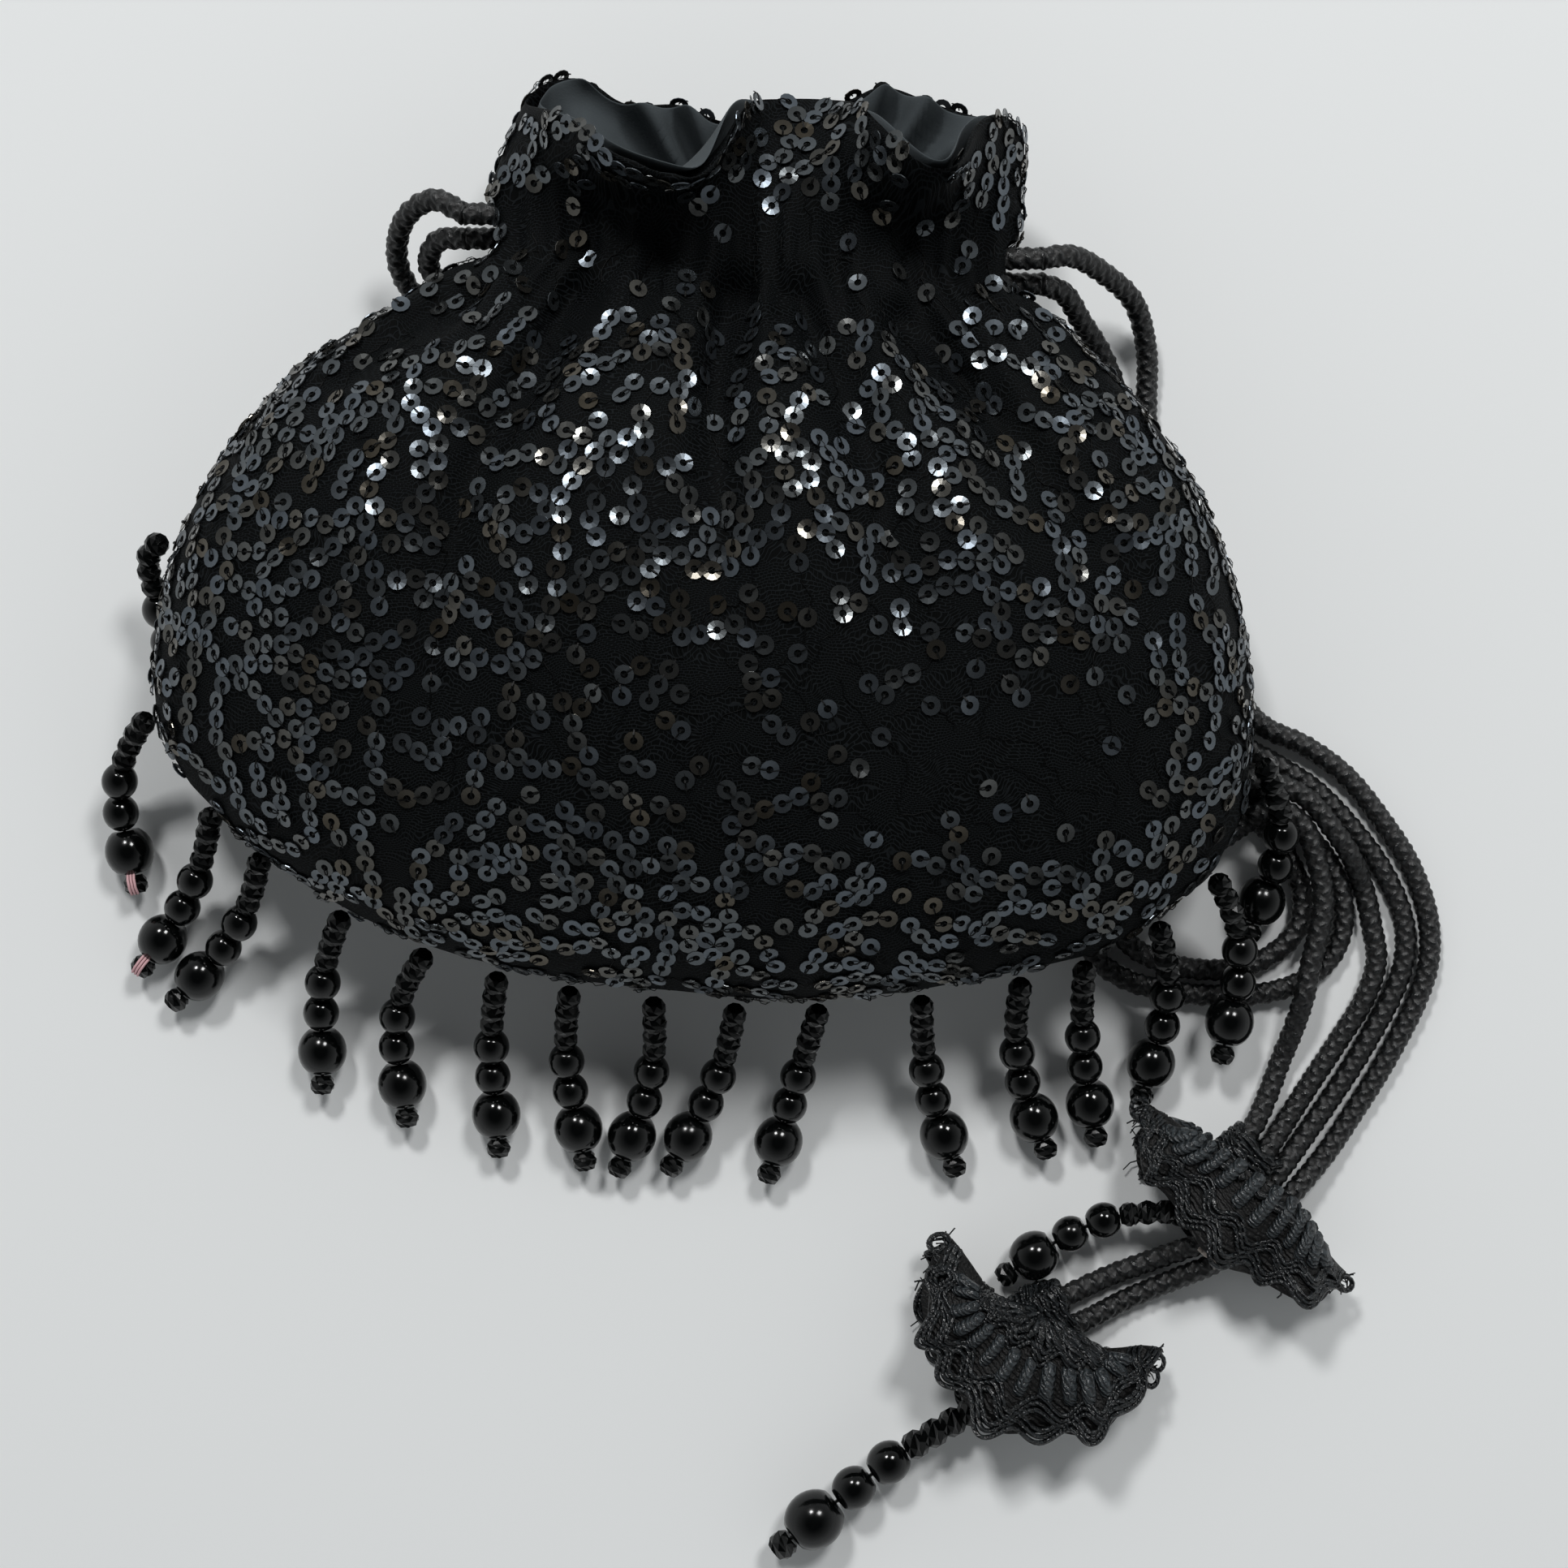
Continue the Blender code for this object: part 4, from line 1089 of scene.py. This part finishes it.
# %% Pink turns and a pale end
pink_finish = new_finish("pink_cotton", "#cfa6aa", 0.8)[0]
pale_finish = new_finish("undyed_cotton", "#b3a9a1", 0.9)[0]
for number in (2, 3):
    spot, ahead = gaps[f"beads_{number:02d}"]
    aside = Vector((-ahead.y, ahead.x, 0.0)).normalized()
    lines = []
    for k in (-1, 0, 1):
        over = spot + aside * (0.5 * k - 0.2)
        lines.append([over + ahead * along + Vector((0, 0, up))
                      for along, up in ((-0.5, 1.4), (0.6, 2.3), (2.0, 2.3), (3.0, 1.2))])
    turns_of_pink = threads(f"pink_turns_{number:02d}", lines, 0.22)
    give(turns_of_pink, pink_finish)
    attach(turns_of_pink, f"fringe_{number:02d}")
thread_end = threads("thread_end", [
    [Vector(p) for p in ((80.0, -99.4, 6.7), (81.2, -100.5, 6.7), (82.2, -101.0, 6.4),
                         (82.8, -102.8, 6.2))],
    [Vector(p) for p in ((80.4, -99.9, 6.9), (81.6, -100.2, 6.8), (82.6, -102.0, 6.4))]], 0.35)
give(thread_end, pale_finish)
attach(thread_end, "bag")

# %% [markdown]
# ## Tassels
#
# Each tassel is a skirt of gimp braid, gathered on the cord ends: a ladder of satin bars
# between wavy borders of three fine cords. Pressed flat on the table, it opens like a fan,
# upper half over lower half. The ring below is that fan, and the borders and bars are laid on
# it from its inner to its outer edge. Each edge has a half width, a depth and a half height.
# The places of bars and rows are shares of the way from the inner to the outer edge, and a
# picot's is its angle round the ring.

# %% The fan's shape
TASSELS = {
    "near": {"centre": (88.3, -90.5), "heading": 230.0, "spread": 88.0,
             "inner": (14.5, -3.5, 4.8), "outer": (21.2, 11.8, 6.2), "middle": 5.9,
             "bars": (0.02, 0.40), "rows": (0.60, 0.84),
             "gathered_to": (86.4, -88.4, 8.6), "picots": (1.38, -1.42),
             "collar": (84.0, -89.4, 5.0), "cords_come_from": 48.0},
    "far": {"centre": (54.4, -110.9), "heading": 242.0, "spread": 101.0,
            "inner": (9.2, 1.0, 4.8), "outer": (19.6, 18.2, 6.6), "middle": 6.2,
            "bars": (0.28, 0.58), "rows": (0.14, 0.73, 0.90),
            "gathered_to": (54.8, -110.2, 9.4), "picots": (1.34, 1.08, -1.4),
            "collar": (51.5, -112.4, 5.4), "cords_come_from": 24.0},
}
RUFFLES = 5
RUFFLE_DEPTH = 1.5
BRAID_REST = 0.55    # the lowest that the braid's middle lies over the table


def fan_place(spec, angle, share, lift=0.0):
    """A place on the braid: round the ring by an angle, and from the inner to the outer edge."""
    centre = np.array([*spec["centre"], spec["middle"]])
    heading = math.radians(spec["heading"])
    ahead = np.array([math.cos(heading), math.sin(heading), 0.0])
    aside = np.array([-math.sin(heading), math.cos(heading), 0.0])
    turn = math.radians(spec["spread"]) * math.sin(angle)
    wide, deep, high = ((1 - share) * np.array(spec["inner"]) + share * np.array(spec["outer"]))
    wave = share * math.cos(2 * RUFFLES * angle) * RUFFLE_DEPTH
    upper = max(math.cos(angle), 0.0)
    place = centre + aside * wide * math.sin(turn) + ahead * (deep * math.cos(turn) + 0.5 * wave)
    place[2] += high * math.cos(angle) + wave * upper + lift * (1 if math.cos(angle) > 0 else -1)
    place[2] = max(place[2], BRAID_REST)
    return Vector(place)


# %% Gimp finishes
def gimp(name, dark, pale, roughness):
    """Satin filaments laid slantwise, dark to pale; paler where the bump rises: painted sheen."""
    finish, tree, shader = new_finish(name, pale, roughness)
    coords = add_node(tree, "ShaderNodeTexCoord").outputs["Object"]
    wrap = add_node(tree, "ShaderNodeTexWave",
                    {"wave_type": "BANDS", "bands_direction": "DIAGONAL"}, Vector=coords,
                    Scale=560.0, Distortion=4.0, Detail=2.0, Detail_Scale=2.0)
    tone = add_node(tree, "ShaderNodeMixRGB", Fac=wrap.outputs["Fac"], Color1=linear(dark),
                    Color2=linear(pale))
    tree.links.new(tone.outputs[0], shader.inputs["Base Color"])
    relief = add_node(tree, "ShaderNodeBump", Height=wrap.outputs["Fac"], Strength=0.7,
                      Distance=0.3 * MM)
    tree.links.new(relief.outputs[0], shader.inputs["Normal"])
    shader.inputs["Specular IOR Level"].default_value = 0.4
    return finish


# Painted light: the braid is one black all through. Its ground, which shows between the bars and
# the borders, is near black as painted shade, and the bars are paler as painted sheen on their
# tops.
painted_shade_ground_finish = gimp("black_gimp_ground_painted_shade", "#010101", "#030303", 0.6)
gimp_finish = gimp("black_gimp_cord", "#08090a", "#222527", 0.24)
painted_sheen_bar_finish = gimp("black_satin_bar_painted_sheen", "#1c1f21", "#363b3e", 0.28)


# %% Ground, borders, bars and frayed ends
def braid_ground(name, spec):
    """The ribbon under the borders, as a ring of quads with a wall."""
    around, across = 260, 5
    vertices = [fan_place(spec, 2 * math.pi * i / around, k / (across - 1) * 0.9 + 0.05) * MM
                for i in range(around) for k in range(across)]
    faces = []
    for i in range(around):
        for k in range(across - 1):
            a, b = i * across + k, ((i + 1) % around) * across + k
            faces.append((a, a + 1, b + 1, b))
    mesh = bpy.data.meshes.new(name)
    mesh.from_pydata([tuple(v) for v in vertices], [], faces)
    piece = add_piece(name, mesh)
    select_only(piece)
    bpy.ops.object.mode_set(mode="EDIT")
    bpy.ops.mesh.select_all(action="SELECT")
    bpy.ops.mesh.normals_make_consistent(inside=False)
    bpy.ops.object.mode_set(mode="OBJECT")
    wall = piece.modifiers.new("wall", "SOLIDIFY")
    wall.thickness = 0.7 * MM
    wall.offset = 0
    bpy.ops.object.modifier_apply(modifier=wall.name)
    bpy.ops.object.shade_smooth()
    return piece


def borders(spec, waves):
    """Rows of three fine cords side by side, which wave as they go round."""
    steps = waves * 16
    lines = []
    for row, edge in enumerate(spec["rows"]):
        for cord in (-1, 0, 1):
            line = []
            for i in range(steps + 1):
                round_ring = i / steps
                if round_ring < 0.5:
                    angle = math.asin(4 * round_ring - 1)
                else:
                    angle = math.pi - math.asin(3 - 4 * round_ring)
                wave = 2 * math.pi * waves * round_ring + 1.9 * row
                share = edge + 0.085 * math.sin(wave) + 0.066 * cord
                line.append(fan_place(spec, angle, share, 0.7 + 0.3 * math.cos(wave + cord)))
            lines.append(line)
    return lines


def bars(spec, count):
    """Short plump satin bars, side by side like the rungs of a ladder."""
    low, high = spec["bars"]
    lines = []
    for i in range(count):
        even = math.asin((2 * i + 1) / count - 1)
        for angle in (even, math.pi - even):
            lines.append([fan_place(spec, angle, low + share * (high - low), 0.6 + bow)
                          for share, bow in ((0.0, -0.6), (0.15, 0.2), (0.5, 0.45), (0.85, 0.2),
                                             (1.0, -0.6))])
    return lines


def gathers(spec, count):
    """The braid's inner edge, drawn together in small pleats on the cord ends."""
    gathered_to = spec["gathered_to"]
    lines = []
    for i in range(count):
        angle = math.pi * ((i + 0.5) / count - 0.5) * 0.96
        rim = fan_place(spec, angle, 0.12, 0.3)
        root = Vector(gathered_to).lerp(rim, 0.16 + 0.06 * (i % 3))
        root.z = gathered_to[2] + 0.5 * (i % 2)
        middle = root.lerp(rim, 0.5)
        middle.z = max(root.z, rim.z) + 0.7 + 0.5 * (i % 2)
        lines.append([root, middle, rim])
    return lines


def collar(spec, length=8.5, wide=4.7, high=3.3, turns=7):
    """The braid's gathered heading, wound in small ruches round the cord ends."""
    centre = Vector(spec["collar"])
    heading = math.radians(spec["cords_come_from"])
    back = Vector((math.cos(heading), math.sin(heading), 0.0))
    aside = Vector((-back.y, back.x, 0.0))
    steps = 24    # in a turn
    line = []
    for i in range(turns * steps + 1):
        turn = 2 * math.pi * i / steps
        ruche = 1 + 0.10 * math.sin(5 * turn + 0.6 * i / steps)
        spot = (centre + back * (length * i / (turns * steps) + 0.45 * math.sin(7 * turn))
                + aside * wide * ruche * math.cos(turn))
        spot.z += high * ruche * math.sin(turn)
        spot.z = max(spot.z, 0.9)
        line.append(spot)
    return [line]


def picots(spec, across=1.4, out_by=1.2, steps=12):
    """Small open loops of the border's cord, which stand out from the outer edge."""
    lines = []
    for angle in spec["picots"]:
        edge = fan_place(spec, angle, 0.95)
        out = (fan_place(spec, angle, 1.0) - fan_place(spec, angle, 0.8)).normalized()
        side = Vector((-out.y, out.x, 0.0))
        loop = []
        for k in range(steps + 1):
            turn = 2 * math.pi * k / steps
            spot = edge + out * out_by * (1 - math.cos(turn)) + side * across * math.sin(turn)
            spot.z = max(edge.z - 0.6, 0.6)
            loop.append(spot)
        lines.append(loop)
    return lines


def crumpled(piece):
    """Pushes a braid about by up to a millimetre or so, so that no two ruffles are alike."""
    mesh = piece.data
    for vertex in mesh.vertices:
        spot = vertex.co / MM
        push = Vector([noise.noise(spot * 0.12 + Vector((0, 0, 40.0 * k))) for k in range(3)])
        vertex.co = (spot + push * Vector((1.3, 1.3, 1.0))) * MM
        vertex.co.z = max(vertex.co.z, 0.3 * MM)
    mesh.update()


def frayed(spec, count, seed):
    """Loose filaments that stick out of the braid's rim."""
    fray = random.Random(seed)
    lines = []
    for _ in range(count):
        angle = fray.choice((math.pi / 2, -math.pi / 2)) + fray.gauss(0.0, 0.5)
        root = fan_place(spec, angle, 0.93)
        tip = fan_place(spec, angle + fray.uniform(-0.03, 0.03), 1.0)
        out = (tip - root).normalized()
        side = Vector((-out.y, out.x, 0.0)) * fray.uniform(-0.5, 0.5)
        reach = fray.uniform(0.5, 1.4)
        line = [root, root + (out + side) * reach, root + (out + side * 2.2) * reach * 1.7]
        for place in line:
            place.z = max(place.z, 0.3)
        lines.append(line)
    return lines


tassels = {}
for end, spec in TASSELS.items():
    parts = [
        braid_ground("gimp_ground_" + end, spec),
        threads("gimp_bars_" + end, bars(spec, 14), 1.1, 2),
        threads("gimp_borders_" + end, borders(spec, 15), 0.42),
        threads("gimp_gathers_" + end, gathers(spec, 26), 0.7),
        threads("gimp_collar_" + end, collar(spec), 0.75),
        threads("gimp_picots_" + end, picots(spec), 0.45),
        threads("gimp_frayed_" + end, frayed(spec, 60, 3), 0.12, 0),
    ]
    for part, finish in zip(parts, (painted_shade_ground_finish, painted_sheen_bar_finish, *[gimp_finish] * 5)):
        cover(part, finish)
    tassel = joined("gimp_tassel_" + end, parts)
    crumpled(tassel)
    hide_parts("tassel_" + end)
    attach(tassel, "bag")
    tassels[end] = tassel
    print(tassel.name, len(tassel.data.polygons), "faces")

# %% [markdown]
# ## The strands and what lies on them
#
# Each free strand takes the place of the imported one, which is hidden, and rides with the
# bag. The tassels, their bindings and their pendants lie on the lower strands.

on_cord = {
    "left_lower": [tassels["far"], frame["nodes"]["binding_far"], pendants["far"]],
    "right_lower": [tassels["near"], frame["nodes"]["binding_near"], pendants["near"]],
}
for strand, piece in strands.items():
    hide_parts("drawstring_" + strand)
    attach(piece, "bag")
    path = strand_paths[strand]
    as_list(on_cord.get(strand, ()))

# %% [markdown]
# ## Table and light
#
# The bag lies on a plain pale table. Black needs something to mirror, so the world is pale round
# the sides and dimmer overhead, as a room is. Two lamps hang in it, a step apart beyond the mouth
# of the bag: they throw soft shadows to both sides below, and the sequins that lie towards them
# flash.

# %% Floor
bpy.ops.mesh.primitive_plane_add(size=3.0, location=(0, 0, -0.0002))
floor = bpy.context.object
floor.name = "table"
floor_finish = new_finish("pale_table", "#f0f2f2", 0.9)[0]
floor.data.materials.append(floor_finish)

# %% World and lamps
world = bpy.data.worlds.new("pale_room")
bpy.context.scene.world = world
world.use_nodes = True
sky = world.node_tree.nodes["Background"]
direction = add_node(world.node_tree, "ShaderNodeTexCoord").outputs["Generated"]
height = add_node(world.node_tree, "ShaderNodeSeparateXYZ", Vector=direction).outputs["Z"]
ceiling = add_node(world.node_tree, "ShaderNodeValToRGB", Fac=height)
ceiling.color_ramp.elements[0].position = 0.2
ceiling.color_ramp.elements[0].color = linear("#e2e5e6")
ceiling.color_ramp.elements[1].position = 0.9
ceiling.color_ramp.elements[1].color = linear("#343537")
world.node_tree.links.new(ceiling.outputs[0], sky.inputs["Color"])
sky.inputs["Strength"].default_value = 0.8


def lamp(name, place, size, power):
    """A square lamp that faces the bag."""
    bpy.ops.object.light_add(type="AREA", location=place)
    made = bpy.context.object
    made.name = name
    made.data.size = size
    made.data.energy = power
    made.rotation_euler = (-Vector(place)).to_track_quat("-Z", "Y").to_euler()
    return made


lamp("lamp_right", (0.60, 1.04, 1.6), 0.40, 15.0)
lamp("lamp_left", (-0.46, 1.25, 1.55), 0.28, 16.0)
bpy.context.scene.view_settings.view_transform = "Standard"
